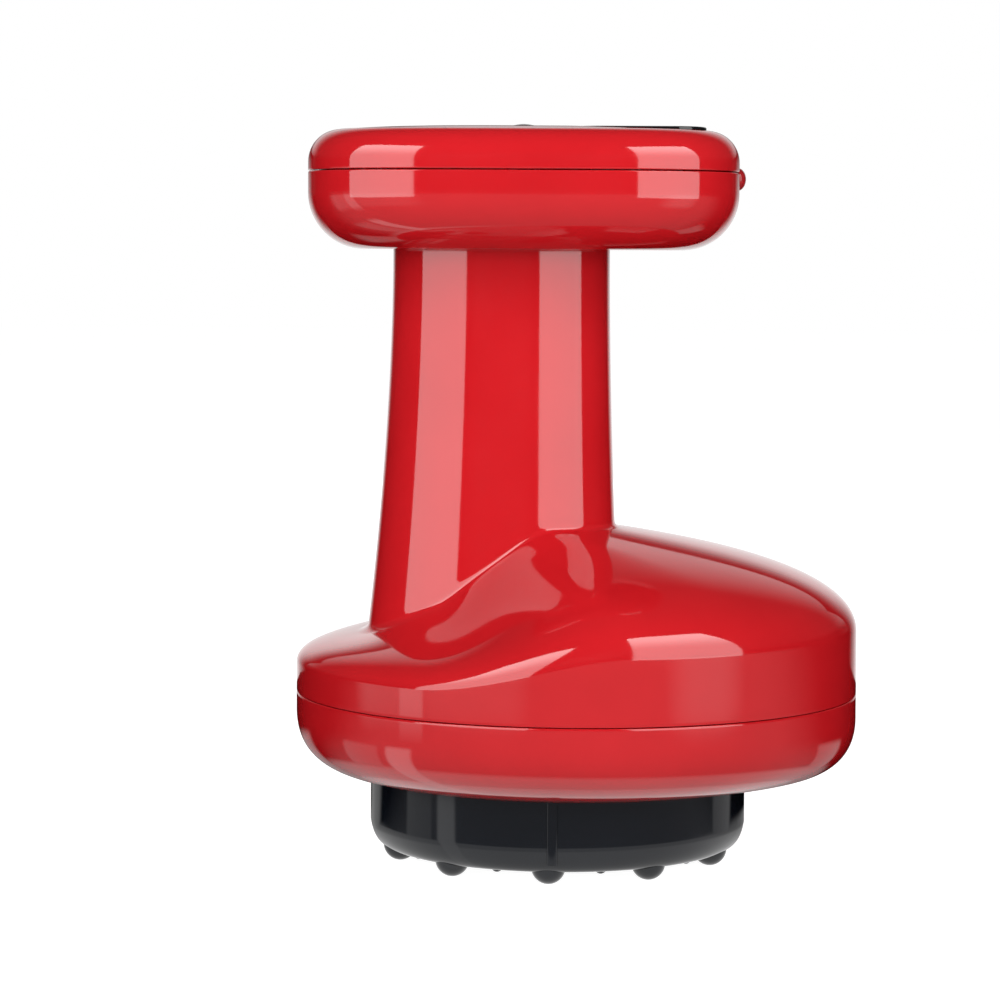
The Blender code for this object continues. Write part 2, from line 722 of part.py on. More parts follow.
def base_boss_places():
    return [on_circle(0.0, BASE_BOSS_CIRCLE_RADIUS, turn) for turn in azimuths(BASE_BOSS_COUNT, BASE_BOSS_PHASE_DEG)]


def ear_places():
    return [on_circle(RING_CENTRE, EAR_CIRCLE_RADIUS, turn) for turn in azimuths(EAR_COUNT, EAR_PHASE_DEG)]


def handle_boss_places():
    return [HANDLE_CENTRE - HANDLE_BOSS_SPREAD, HANDLE_CENTRE + HANDLE_BOSS_SPREAD]


def add_body_shell(material):
    item = shell("body_shell", body_rings(), SHELL_WALL, material)
    foot = BASE_SEAM_HEIGHT + SEAT_GAP / 2
    top = foot + BASE_BOSS_RISE
    for azimuth, (x, y) in zip(azimuths(BASE_BOSS_COUNT, BASE_BOSS_PHASE_DEG), base_boss_places()):
        fin_end = BASE_RADIUS - SHELL_WALL / 2
        fin = radial_block(0.0, azimuth, BASE_BOSS_CIRCLE_RADIUS, fin_end, FIN_WIDTH, foot, top)
        join(item, "body_boss", upright(x, y, foot, top, BASE_BOSS_RADIUS))
        join(item, "body_fin", fin)
    for x in handle_boss_places():
        boss_foot = HANDLE_TOP_HEIGHT - HANDLE_BOSS_LENGTH
        join(item, "handle_boss", upright(x, 0.0, boss_foot, HANDLE_TOP_HEIGHT, HANDLE_BOSS_RADIUS))
    for x, y in base_boss_places():
        cut(item, "body_bore", upright(x, y, foot - CUT_OVERRUN, top - RUN_GAP * 2, LARGE_SHAFT + RUN_GAP))
    for x in handle_boss_places():
        bore_foot = HANDLE_TOP_HEIGHT - SCREW_BITE - RUN_GAP
        bore_top = HANDLE_TOP_HEIGHT + CUT_OVERRUN
        cut(item, "handle_bore", upright(x, 0.0, bore_foot, bore_top, SMALL_SHAFT + RUN_GAP))


def add_base_lower_shell(material):
    item = shell("base_lower_shell", lower_base_rings(), SHELL_WALL, material)
    top = BASE_SEAM_HEIGHT - SEAT_GAP / 2
    for azimuth, (x, y) in zip(azimuths(BASE_BOSS_COUNT, BASE_BOSS_PHASE_DEG), base_boss_places()):
        fin_end = BASE_RADIUS - SHELL_WALL / 2
        fin_foot = BASE_WALL_FOOT_LEFT_HEIGHT
        fin = radial_block(0.0, azimuth, BASE_BOSS_CIRCLE_RADIUS, fin_end, FIN_WIDTH, fin_foot, top)
        join(item, "lower_boss", upright(x, y, BASE_BOSS_FOOT_HEIGHT, top, BASE_BOSS_RADIUS))
        join(item, "lower_fin", fin)
    for x, y in ear_places():
        boss = upright(x, y, EAR_BOSS_FOOT_HEIGHT, NECK_TOP_HEIGHT, EAR_BOSS_RADIUS)
        join(item, "ear_boss", boss, solver="MANIFOLD")
    for x, y in base_boss_places():
        foot = OPENING_EDGE_HEIGHT - OPENING_EDGE_RIGHT_DROP - CUT_OVERRUN
        head_room = upright(x, y, foot, COUNTERBORE_HEIGHT, LARGE_HEAD + RUN_GAP)
        cut(item, "counterbore", head_room, solver="MANIFOLD")
        shaft_room = upright(x, y, foot, top + CUT_OVERRUN, LARGE_SHAFT + RUN_GAP)
        cut(item, "lower_bore", shaft_room, solver="MANIFOLD")
    for x, y in ear_places():
        bore_foot = NECK_TOP_HEIGHT - PLATE_THICKNESS
        bore = upright(x, y, bore_foot, NECK_TOP_HEIGHT + CUT_OVERRUN, SMALL_SHAFT + RUN_GAP)
        cut(item, "ear_bore", bore, solver="MANIFOLD")


def socket_hole():
    """The hole in the back of the head for the charging plug."""
    outline = rounded_outline(
        SOCKET_WIDTH + RUN_GAP * 2, SOCKET_HEIGHT + RUN_GAP * 2, SOCKET_HEIGHT / 2
    )
    shape = prism(outline, 0.0, HEAD_WALL + CUT_OVERRUN * 2)
    height = CONTROL_BOARD_HEIGHT - SEAT_GAP - SOCKET_HEIGHT / 2
    place = Matrix.Translation((HEAD_CENTRE, HEAD_HALF_DEPTH + CUT_OVERRUN, height))
    bmesh.ops.transform(shape, matrix=place @ Matrix.Rotation(math.pi / 2, 4, "X"), verts=shape.verts)
    return shape


def indicator_hole():
    end = HEAD_CENTRE + HEAD_HALF_WIDTH
    start = end - HEAD_WALL * 3
    return cylinder(
        (start, 0.0, INDICATOR_HEIGHT), (end + CUT_OVERRUN, 0.0, INDICATOR_HEIGHT), INDICATOR_BARREL_RADIUS + RUN_GAP
    )


def control_post_places():
    return [
        (HEAD_CENTRE + side * CONTROL_POST_SPREAD, end * CONTROL_POST_DEPTH) for side in (-1, 1) for end in (-1, 1)
    ]


def add_head_lower_shell(material):
    item = shell("head_lower_shell", lower_head_rings(), HEAD_WALL, material)
    post_top = CONTROL_BOARD_HEIGHT - SEAT_GAP
    for x, y in control_post_places():
        foot = HEAD_FLOOR_HEIGHT + HEAD_WALL / 2
        join(item, "control_post", upright(x, y, foot, post_top, POST_RADIUS))
    for x, y in control_post_places():
        foot = post_top - SCREW_BITE
        cut(item, "control_bore", upright(x, y, foot, post_top + CUT_OVERRUN, SMALL_SHAFT + RUN_GAP))
    for x in handle_boss_places():
        foot = HEAD_FLOOR_HEIGHT - CUT_OVERRUN
        top = HEAD_FLOOR_HEIGHT + HEAD_WALL + CUT_OVERRUN
        cut(item, "handle_screw_hole", upright(x, 0.0, foot, top, SMALL_SHAFT + RUN_GAP))
    cut(item, "lower_head_openings", indicator_hole(), socket_hole())


def cover_lip():
    """The lip that stands inside the lower shell: a stepped ring of the head's outline."""
    angles = side_angles()
    outer = HEAD_WALL + RUN_GAP
    inner = outer + LIP_WALL
    foot = HEAD_SEAM_HEIGHT - LIP_DEPTH
    step = HEAD_SEAM_HEIGHT + SEAT_GAP / 2
    top = HEAD_SEAM_HEIGHT + LIP_RISE
    root = HEAD_WALL / 2
    rings = [
        head_ring(outer, foot, angles),
        head_ring(outer, step + SEAT_GAP, angles),
        head_ring(root, step + SEAT_GAP, angles),
        head_ring(root, top, angles),
        head_ring(inner, top, angles),
        head_ring(inner, foot, angles),
    ]
    return loft_mesh("cover_lip", rings, close_path=True)


def add_head_top_cover(material):
    item = shell("head_top_cover", upper_head_rings(), HEAD_WALL, material)
    boolean(item, add_tool("cover_lip", cover_lip()), "UNION")
    gap = SEAT_GAP
    pocket = rounded_outline(PANEL_WIDTH + gap * 2, PANEL_DEPTH + gap * 2, PANEL_CORNER + gap)
    window = rounded_outline(PANEL_WIDTH - PANEL_LEDGE * 2, PANEL_DEPTH - PANEL_LEDGE * 2, PANEL_CORNER / 2)
    centre = (PANEL_CENTRE, 0.0)
    cut(item, "panel_pocket", prism(pocket, PANEL_UNDER_HEIGHT - gap, HEAD_TOP_HEIGHT + CUT_OVERRUN, centre))
    window_foot = HEAD_TOP_HEIGHT - HEAD_WALL - HEAD_CROWN - CUT_OVERRUN
    cut(item, "panel_window", prism(window, window_foot, HEAD_TOP_HEIGHT + CUT_OVERRUN, centre))
    cut(item, "upper_indicator_hole", indicator_hole())


# Pieces on the head

def button_outline():
    edge_drop = BUTTON_CROWN_RADIUS - math.sqrt(BUTTON_CROWN_RADIUS**2 - BUTTON_RADIUS**2)
    reach = math.asin(BUTTON_RADIUS / BUTTON_CROWN_RADIUS)
    outline = []
    for step in range(BUTTON_CROWN_STEPS + 1):
        turn = reach * step / BUTTON_CROWN_STEPS
        height = BUTTON_TOP_HEIGHT - BUTTON_CROWN_RADIUS * (1.0 - math.cos(turn))
        outline.append((BUTTON_CROWN_RADIUS * math.sin(turn), height))
    flange_top = HEAD_TOP_HEIGHT - HEAD_WALL - RUN_GAP * 2
    flange_foot = flange_top - BUTTON_FLANGE_THICKNESS
    stem_foot = SWITCH_TOP_HEIGHT + BUTTON_TRAVEL + SEAT_GAP
    outline[-1] = (BUTTON_RADIUS, BUTTON_TOP_HEIGHT - edge_drop)
    outline += [
        (BUTTON_RADIUS, flange_top),
        (BUTTON_RADIUS + BUTTON_FLANGE, flange_top),
        (BUTTON_RADIUS + BUTTON_FLANGE, flange_foot),
        (BUTTON_STEM_RADIUS, flange_foot),
        (BUTTON_STEM_RADIUS, stem_foot),
        (0.0, stem_foot),
    ]
    return outline


def add_power_button(material):
    turned("power_button", button_outline(), material, (HEAD_CENTRE, 0.0), closed=False)


def add_control_panel_lens(material):
    outline = rounded_outline(PANEL_WIDTH, PANEL_DEPTH, PANEL_CORNER)
    shape = prism(outline, PANEL_UNDER_HEIGHT, PANEL_UNDER_HEIGHT + PANEL_THICKNESS, (PANEL_CENTRE, 0.0))
    add_object("control_panel_lens", mesh_from("control_panel_lens", shape), material)


def add_indicator_lens(material):
    end = HEAD_HALF_WIDTH + SEAT_GAP
    barrel_start = CONTROL_BOARD_LENGTH / 2 + SEAT_GAP
    tip = end + INDICATOR_PROUD
    outline = [(0.0, tip)]
    for step in range(1, CORNER_STEPS + 1):
        turn = math.pi / 2 * step / CORNER_STEPS
        outline.append((INDICATOR_RADIUS * math.sin(turn), end + INDICATOR_PROUD * math.cos(turn)))
    outline += [
        (INDICATOR_BARREL_RADIUS, end),
        (INDICATOR_BARREL_RADIUS, barrel_start),
        (0.0, barrel_start),
    ]
    item = turned("indicator_lens", outline, material, closed=False, sides=SMALL_SIDES)
    item.rotation_euler = (0.0, math.pi / 2, 0.0)
    item.location = (HEAD_CENTRE, 0.0, INDICATOR_HEIGHT)


# Cup ring

def ring_outline():
    edge_drop = RING_EDGE_HEIGHT - RING_FACE_HEIGHT
    corner = [
        (RING_RADIUS - RING_FACE_INSET * inset, RING_FACE_HEIGHT + edge_drop * rise)
        for inset, rise in RING_EDGE_SHARES
    ]
    return [
        (RING_SOCKET_RADIUS, RING_TOP_HEIGHT),
        (RING_RADIUS, RING_TOP_HEIGHT),
        *corner,
        (RING_INNER_RADIUS + SMALL_BEAD_PROUD, RING_FACE_HEIGHT),
        (RING_INNER_RADIUS, RING_FACE_HEIGHT + SMALL_BEAD_PROUD),
        (RING_INNER_RADIUS, RING_SOCKET_HEIGHT),
        (RING_SOCKET_RADIUS, RING_SOCKET_HEIGHT),
    ]


def bead(azimuth, radius, height, rows, sides):
    x, y = on_circle(RING_CENTRE, BEAD_CIRCLE_RADIUS, azimuth)
    shape = bmesh.new()
    place = Matrix.Translation((x, y, height))
    bmesh.ops.create_uvsphere(shape, u_segments=sides, v_segments=rows, radius=radius, matrix=place)
    return shape


def add_cup_ring(material):
    item = turned("cup_ring", ring_outline(), material, (RING_CENTRE, 0.0), sides=RING_SIDES)
    spacing = math.pi / BEAD_COUNT
    for azimuth in azimuths(BEAD_COUNT, BEAD_PHASE_DEG):
        centre_height = BEAD_RADIUS - BEAD_FLAT_DEPTH
        ball = bead(azimuth, BEAD_RADIUS, centre_height, 8, SMALL_SIDES)
        for vertex in ball.verts:
            vertex.co.z = max(vertex.co.z, 0.0)
        join(item, "bead", ball)
        dot_height = RING_FACE_HEIGHT + SMALL_BEAD_RADIUS - SMALL_BEAD_PROUD
        join(item, "small_bead", bead(azimuth + spacing, SMALL_BEAD_RADIUS, dot_height, 4, 8))
    for azimuth in azimuths(RIB_COUNT, RIB_PHASE_DEG):
        inner = RING_RADIUS - RING_FACE_INSET
        outer = RING_RADIUS + RIB_PROUD
        top = RING_TOP_HEIGHT - RING_FACE_INSET
        join(item, "rib", radial_block(RING_CENTRE, azimuth, inner, outer, RIB_WIDTH, RIB_FOOT_HEIGHT, top))
    lug_foot = SKIRT_FOOT_HEIGHT + HOOK_HEIGHT + RUN_GAP
    for azimuth in azimuths(LUG_COUNT, EAR_PHASE_DEG):
        inner = SKIRT_RADIUS + RUN_GAP
        outer = (RING_SOCKET_RADIUS + RING_RADIUS) / 2
        lug = radial_block(RING_CENTRE, azimuth, inner, outer, LUG_WIDTH, lug_foot, lug_foot + LUG_HEIGHT)
        join(item, "lug", lug)


# Cup plate and what it carries

def plate_outline():
    return [
        (PORT_RADIUS, PLATE_UNDER_HEIGHT),
        (PORT_RADIUS, PLATE_TOP_HEIGHT + BARB_HEIGHT),
        (BARB_RADIUS, PLATE_TOP_HEIGHT + BARB_HEIGHT),
        (BARB_RADIUS, PLATE_TOP_HEIGHT),
        (PLATE_RADIUS, PLATE_TOP_HEIGHT),
        (PLATE_RADIUS, PLATE_UNDER_HEIGHT),
        (SKIRT_RADIUS, PLATE_UNDER_HEIGHT),
        (SKIRT_RADIUS, SKIRT_FOOT_HEIGHT),
        (RING_INNER_RADIUS, SKIRT_FOOT_HEIGHT),
        (RING_INNER_RADIUS, PLATE_UNDER_HEIGHT),
    ]


def lamp_places():
    return [on_circle(RING_CENTRE, LAMP_CIRCLE_RADIUS, turn) for turn in azimuths(LAMP_COUNT, 0.0)]


def add_cup_plate(material):
    item = turned("cup_plate", plate_outline(), material, (RING_CENTRE, 0.0), sides=CASE_SIDES)
    for x, y in ear_places():
        join(item, "ear", upright(x, y, PLATE_UNDER_HEIGHT, PLATE_TOP_HEIGHT, EAR_RADIUS))
    for azimuth in azimuths(LUG_COUNT, EAR_PHASE_DEG):
        inner = (RING_INNER_RADIUS + SKIRT_RADIUS) / 2
        outer = SKIRT_RADIUS + HOOK_REACH
        top = SKIRT_FOOT_HEIGHT + HOOK_HEIGHT
        join(item, "hook", radial_block(RING_CENTRE, azimuth, inner, outer, HOOK_WIDTH, SKIRT_FOOT_HEIGHT, top))
    post_foot = PLATE_TOP_HEIGHT - PLATE_THICKNESS / 2
    for x, y in MAIN_BOARD_POSTS:
        join(item, "board_post", upright(x, y, post_foot, MAIN_BOARD_POST_HEIGHT, POST_RADIUS))
    foot = PLATE_UNDER_HEIGHT - CUT_OVERRUN
    top = PLATE_TOP_HEIGHT + CUT_OVERRUN
    for x, y in ear_places():
        cut(item, "ear_hole", upright(x, y, foot, top, SMALL_SHAFT + RUN_GAP))
    holes = bmesh.new()
    for x, y in lamp_places():
        upright(x, y, foot, top, LAMP_RADIUS + RUN_GAP, into=holes)
    upright(VALVE_CENTRE, VALVE_DEPTH, foot, top, PORT_RADIUS, into=holes)
    cut(item, "lamp_holes", holes)
    bores = bmesh.new()
    for x, y in MAIN_BOARD_POSTS:
        bore_top = MAIN_BOARD_POST_HEIGHT + CUT_OVERRUN
        upright(x, y, MAIN_BOARD_POST_HEIGHT - SCREW_BITE, bore_top, SMALL_SHAFT + RUN_GAP, into=bores)
    cut(item, "post_bores", bores, solver="MANIFOLD")


def washer_outline(inner, outer, foot, top):
    return [(inner, top), (outer, top), (outer, foot), (inner, foot)]


def add_cup_gasket(material):
    foot = RING_TOP_HEIGHT + SEAT_GAP
    outline = washer_outline(RING_SOCKET_RADIUS, RING_RADIUS, foot, foot + GASKET_THICKNESS)
    turned("cup_gasket", outline, material, (RING_CENTRE, 0.0), sides=CASE_SIDES)


def add_suction_filter(material):
    top = PLATE_UNDER_HEIGHT - SEAT_GAP
    outline = washer_outline(PORT_RADIUS, FILTER_RADIUS, top - FILTER_THICKNESS, top)
    turned("suction_filter", outline, material, (RING_CENTRE, 0.0))


def add_light_ring_lens(material):
    top = PLATE_UNDER_HEIGHT - SEAT_GAP
    outline = washer_outline(LENS_RING_INNER_RADIUS, LENS_RING_RADIUS, top - LENS_RING_THICKNESS, top)
    turned("light_ring_lens", outline, material, (RING_CENTRE, 0.0))


def add_light_board(material):
    foot = PLATE_TOP_HEIGHT + SEAT_GAP
    top = foot + LIGHT_BOARD_THICKNESS
    outline = washer_outline(LIGHT_BOARD_INNER_RADIUS, LIGHT_BOARD_RADIUS, foot, top)
    item = turned("light_board", outline, material, (RING_CENTRE, 0.0))
    lamps = bmesh.new()
    for x, y in lamp_places():
        upright(x, y, foot - LAMP_REACH, foot + LIGHT_BOARD_THICKNESS / 2, LAMP_RADIUS, 8, into=lamps)
    join(item, "lamps", lamps)


def screw_outline(shaft, head, head_height, seat, length):
    """A screw that points down from its seat height."""
    return [
        (0.0, seat + head_height),
        (head, seat + head_height * 0.7),
        (head, seat),
        (shaft, seat),
        (shaft, seat - length + shaft),
        (0.0, seat - length),
    ]


def add_screws(name, places, sizes, seat, length, material, points_up=False):
    """One screw at each place. The first screw's mesh serves the others too."""
    first = None
    for number, (x, y) in enumerate(places, 1):
        if first is None:
            item = turned(f"{name}_{number}", screw_outline(*sizes, 0.0, length), material, closed=False, sides=10)
            first = item
        else:
            item = bpy.data.objects.new(f"{name}_{number}", first.data)
            PARTS.objects.link(item)
            screw = item.modifiers.new("Turning", "SCREW")
            screw.steps = first.modifiers[0].steps
            screw.render_steps = screw.steps
            screw.use_merge_vertices = True
            screw.merge_threshold = MERGE_DISTANCE
            screw.use_smooth_shade = True
        item.location = (x, y, seat)
        item.rotation_euler = (math.pi if points_up else 0.0, 0.0, 0.0)


def add_all_screws(material):
    small = (SMALL_SHAFT, SMALL_HEAD, SMALL_HEAD_HEIGHT)
    large = (LARGE_SHAFT, LARGE_HEAD, LARGE_HEAD_HEIGHT)
    bite = SCREW_BITE - RUN_GAP
    base_seat = COUNTERBORE_HEIGHT - SEAT_GAP
    base_length = BASE_SEAM_HEIGHT + BASE_BOSS_RISE - base_seat - RUN_GAP * 4
    add_screws("base_screw", base_boss_places(), large, base_seat, base_length, material, points_up=True)
    ear_seat = PLATE_TOP_HEIGHT + SEAT_GAP
    add_screws("cup_plate_screw", ear_places(), small, ear_seat, PLATE_THICKNESS * 2, material)
    board_seat = MAIN_BOARD_POST_HEIGHT + SEAT_GAP * 2 + BOARD_THICKNESS
    board_length = bite + BOARD_THICKNESS
    add_screws("main_board_screw", MAIN_BOARD_POSTS, small, board_seat, board_length, material)
    control_seat = CONTROL_BOARD_TOP + SEAT_GAP
    add_screws("control_board_screw", control_post_places(), small, control_seat, board_length, material)
    handle_seat = HEAD_FLOOR_HEIGHT + HEAD_WALL + SEAT_GAP
    handle_places = [(x, 0.0) for x in handle_boss_places()]
    handle_length = HEAD_WALL + SCREW_BITE
    add_screws("handle_screw", handle_places, small, handle_seat, handle_length, material)


# Boards

def board(name, length, depth, corner, foot, centre_x, screw_places, material):
    outline = rounded_outline(length, depth, corner)
    shape = prism(outline, foot, foot + BOARD_THICKNESS, (centre_x, 0.0))
    item = add_object(name, mesh_from(name, shape), material)
    holes = bmesh.new()
    for x, y in screw_places:
        top = foot + BOARD_THICKNESS + CUT_OVERRUN
        upright(x, y, foot - CUT_OVERRUN, top, SMALL_SHAFT + RUN_GAP, into=holes)
    cut(item, name + "_holes", holes)
    return item


def add_main_board(material):
    foot = MAIN_BOARD_POST_HEIGHT + SEAT_GAP
    item = board(
        "main_board", MAIN_BOARD_LENGTH, MAIN_BOARD_DEPTH, MAIN_BOARD_CORNER, foot, MAIN_BOARD_CENTRE,
        MAIN_BOARD_POSTS, material,
    )
    top = foot + BOARD_THICKNESS
    chips = bmesh.new()
    for side in (-1, 1):
        middle = side * CHIP_SIDE
        low = (MAIN_BOARD_CENTRE - CHIP_SIDE / 2, middle - CHIP_SIDE / 2, top - BOARD_THICKNESS / 2)
        high = (MAIN_BOARD_CENTRE + CHIP_SIDE / 2, middle + CHIP_SIDE / 2, top + CHIP_HEIGHT)
        block(low, high, into=chips)
    join(item, "chips", chips)


def add_control_board(material):
    board(
        "control_board", CONTROL_BOARD_LENGTH, CONTROL_BOARD_DEPTH, CONTROL_BOARD_CORNER, CONTROL_BOARD_HEIGHT,
        HEAD_CENTRE, control_post_places(), material,
    )


def add_button_switch(material):
    foot = CONTROL_BOARD_TOP + SEAT_GAP
    half = SWITCH_SIDE / 2
    shape = block((HEAD_CENTRE - half, -half, foot), (HEAD_CENTRE + half, half, foot + SWITCH_BODY_HEIGHT))
    item = add_object("button_switch", mesh_from("button_switch", shape), material)
    tip_foot = SWITCH_TOP_HEIGHT - SWITCH_TIP_HEIGHT * 2
    join(item, "switch_tip", upright(HEAD_CENTRE, 0.0, tip_foot, SWITCH_TOP_HEIGHT, SWITCH_TIP_RADIUS))


def add_display_module(material):
    inset = PANEL_LEDGE + DISPLAY_SIDE_CLEARANCE
    half_width = PANEL_WIDTH / 2 - inset
    half_depth = CONTROL_POST_DEPTH - SMALL_HEAD - DISPLAY_SIDE_CLEARANCE
    foot = CONTROL_BOARD_TOP + SEAT_GAP
    top = PANEL_UNDER_HEIGHT - SEAT_GAP
    low = (PANEL_CENTRE - half_width, -half_depth, foot)
    high = (PANEL_CENTRE + half_width, half_depth, top)
    add_object("display_module", mesh_from("display_module", block(low, high)), material)


def add_charging_socket(material):
    top = CONTROL_BOARD_HEIGHT - SEAT_GAP
    foot = top - SOCKET_HEIGHT
    mouth = HEAD_HALF_DEPTH - HEAD_WALL - RUN_GAP * 2
    back = mouth - SOCKET_LENGTH
    half = SOCKET_WIDTH / 2
    shape = block((HEAD_CENTRE - half, back, foot), (HEAD_CENTRE + half, mouth, top))
    item = add_object("charging_socket", mesh_from("charging_socket", shape), material)
    wall = SOCKET_WALL
    low = (HEAD_CENTRE - half + wall, back + SOCKET_BACK, foot + wall)
    high = (HEAD_CENTRE + half - wall, mouth + CUT_OVERRUN, top - wall)
    cut(item, "socket_mouth", block(low, high))
    middle = (foot + top) / 2
    thickness = SOCKET_TONGUE_THICKNESS / 2
    reach = SOCKET_TONGUE_HALF_WIDTH
    tongue_low = (HEAD_CENTRE - reach, back + SOCKET_BACK / 2, middle - thickness)
    tongue_high = (HEAD_CENTRE + reach, mouth - SOCKET_BACK, middle + thickness)
    join(item, "socket_tongue", block(tongue_low, tongue_high))


# Pump

def add_pump_cradle(material):
    foot = PLATE_TOP_HEIGHT + SEAT_GAP
    top = PUMP_AXIS_HEIGHT - CRADLE_TOP_DROP
    low = (PUMP_CENTRE - CRADLE_HALF_WIDTH, -CRADLE_HALF_DEPTH, foot)
    high = (PUMP_CENTRE + CRADLE_HALF_WIDTH, CRADLE_HALF_DEPTH, top)
    item = add_object("pump_cradle", mesh_from("pump_cradle", block(low, high)), material)
    reach = CRADLE_HALF_DEPTH + CUT_OVERRUN
    axis_start = (PUMP_CENTRE, -reach, PUMP_AXIS_HEIGHT)
    axis_end = (PUMP_CENTRE, reach, PUMP_AXIS_HEIGHT)
    cut(item, "cradle_saddle", cylinder(axis_start, axis_end, MOTOR_RADIUS + SEAT_GAP, INNER_SIDES))


def add_pump_motor(material):
    start = (PUMP_CENTRE, MOTOR_FRONT, PUMP_AXIS_HEIGHT)
    end = (PUMP_CENTRE, MOTOR_BACK, PUMP_AXIS_HEIGHT)
    item = add_object("pump_motor", mesh_from("pump_motor", cylinder(start, end, MOTOR_RADIUS, INNER_SIDES)), material)
    bore_start = (PUMP_CENTRE, MOTOR_BACK - SHAFT_SOCKET_DEPTH, PUMP_AXIS_HEIGHT)
    bore_end = (PUMP_CENTRE, MOTOR_BACK + CUT_OVERRUN, PUMP_AXIS_HEIGHT)
    cut(item, "shaft_bore", cylinder(bore_start, bore_end, SHAFT_RADIUS + RUN_GAP))


def add_pump_shaft(material):
    """The turning shaft with its eccentric. Its origin is on the axis."""
    eccentric_start = PUMP_HEAD_FRONT + ECCENTRIC_THROW
    eccentric_end = eccentric_start + ECCENTRIC_THICKNESS
    start = MOTOR_BACK - SHAFT_SOCKET_DEPTH + RUN_GAP
    shape = cylinder((0.0, start, 0.0), (0.0, eccentric_end + ECCENTRIC_THROW, 0.0), SHAFT_RADIUS)
    item = add_object("pump_shaft", mesh_from("pump_shaft", shape), material)
    item.location = (PUMP_CENTRE, 0.0, PUMP_AXIS_HEIGHT)
    disc = cylinder(
        (0.0, eccentric_start, ECCENTRIC_THROW), (0.0, eccentric_end, ECCENTRIC_THROW), ECCENTRIC_RADIUS, 16
    )
    bmesh.ops.translate(disc, vec=item.location, verts=disc.verts)
    join(item, "eccentric", disc)


def add_pump_head(material):
    half = PUMP_HEAD_SIDE / 2
    low = (PUMP_CENTRE - half, PUMP_HEAD_FRONT, PUMP_AXIS_HEIGHT - half)
    high = (PUMP_CENTRE + half, PUMP_HEAD_FRONT + PUMP_HEAD_LENGTH, PUMP_AXIS_HEIGHT + half)
    item = add_object("pump_head", mesh_from("pump_head", block(low, high)), material)
    chamber_start = (PUMP_CENTRE, PUMP_HEAD_FRONT - CUT_OVERRUN, PUMP_AXIS_HEIGHT)
    chamber_end = (PUMP_CENTRE, PUMP_HEAD_FRONT + CHAMBER_DEPTH, PUMP_AXIS_HEIGHT)
    cut(item, "chamber", cylinder(chamber_start, chamber_end, CHAMBER_RADIUS, INNER_SIDES))
    x, y = diaphragm_place()
    top = PUMP_HEAD_TOP + CUT_OVERRUN
    cut(item, "diaphragm_bore", upright(x, y, PUMP_AXIS_HEIGHT, top, DIAPHRAGM_RADIUS + SEAT_GAP, 20))


def diaphragm_place():
    return PUMP_CENTRE, PUMP_HEAD_FRONT + ECCENTRIC_THROW + ECCENTRIC_THICKNESS * 1.2


def add_pump_diaphragm(material):
    top = PUMP_HEAD_TOP - SEAT_GAP
    foot = top - DIAPHRAGM_THICKNESS
    stem_foot = PUMP_AXIS_HEIGHT + ECCENTRIC_RADIUS + ECCENTRIC_THROW + RUN_GAP * 2
    outline = [
        (0.0, top),
        (DIAPHRAGM_RADIUS, top),
        (DIAPHRAGM_RADIUS, foot),
        (DIAPHRAGM_STEM_RADIUS, foot),
        (DIAPHRAGM_STEM_RADIUS, stem_foot),
        (0.0, stem_foot),
    ]
    turned("pump_diaphragm", outline, material, diaphragm_place(), closed=False, sides=20)


def add_pump_lid(material):
    half = PUMP_HEAD_SIDE / 2
    foot = PUMP_HEAD_TOP + SEAT_GAP
    low = (PUMP_CENTRE - half, PUMP_HEAD_FRONT, foot)
    high = (PUMP_CENTRE + half, PUMP_HEAD_FRONT + PUMP_HEAD_LENGTH, foot + PUMP_LID_THICKNESS)
    item = add_object("pump_lid", mesh_from("pump_lid", block(low, high)), material)
    root = (PUMP_CENTRE - half + NIPPLE_RADIUS, nipple_depth(), foot + PUMP_LID_THICKNESS / 2)
    join(item, "nipple", cylinder(root, nipple_end(), NIPPLE_RADIUS))


def nipple_depth():
    return PUMP_HEAD_FRONT + PUMP_HEAD_LENGTH / 2


def nipple_end():
    height = PUMP_HEAD_TOP + SEAT_GAP + PUMP_LID_THICKNESS / 2
    return PUMP_CENTRE - PUMP_HEAD_SIDE / 2 - NIPPLE_LENGTH, nipple_depth(), height


def add_suction_hose(material):
    """The hose leaves the port straight up, bends to the back and meets the nipple along X."""
    foot = Vector((RING_CENTRE, 0.0, PLATE_TOP_HEIGHT + BARB_HEIGHT + SEAT_GAP))
    end = Vector(nipple_end()) - Vector((SEAT_GAP, 0.0, 0.0))
    first = foot + Vector((0.0, 0.0, HOSE_END_LENGTH))
    turned_back = first + Vector((0.0, HOSE_BEND, HOSE_BEND))
    pull = HOSE_BEND * HOSE_BEND_SHARE
    rise = (first, first + Vector((0.0, 0.0, pull)), turned_back - Vector((0.0, pull, 0.0)), turned_back)
    last = end - Vector((HOSE_END_LENGTH, 0.0, 0.0))
    climb_start = turned_back + Vector((0.0, HOSE_RISE_RUN, 0.0))
    climb = (turned_back, climb_start, last - Vector((HOSE_END_RUN, 0.0, 0.0)), last)
    points = [foot, first]
    for curve_points in (rise, climb):
        points += [bezier(*curve_points, step / HOSE_SAMPLES) for step in range(1, HOSE_SAMPLES + 1)]
    points.append(end)
    curve = bpy.data.curves.new("suction_hose", "CURVE")
    curve.dimensions = "3D"
    curve.bevel_depth = HOSE_RADIUS
    curve.bevel_resolution = 2
    curve.use_fill_caps = True
    spline = curve.splines.new("POLY")
    spline.points.add(len(points) - 1)
    for point, place in zip(spline.points, points):
        point.co = (*place, 1.0)
    curve.materials.append(material)
    PARTS.objects.link(bpy.data.objects.new("suction_hose", curve))


# Release valve

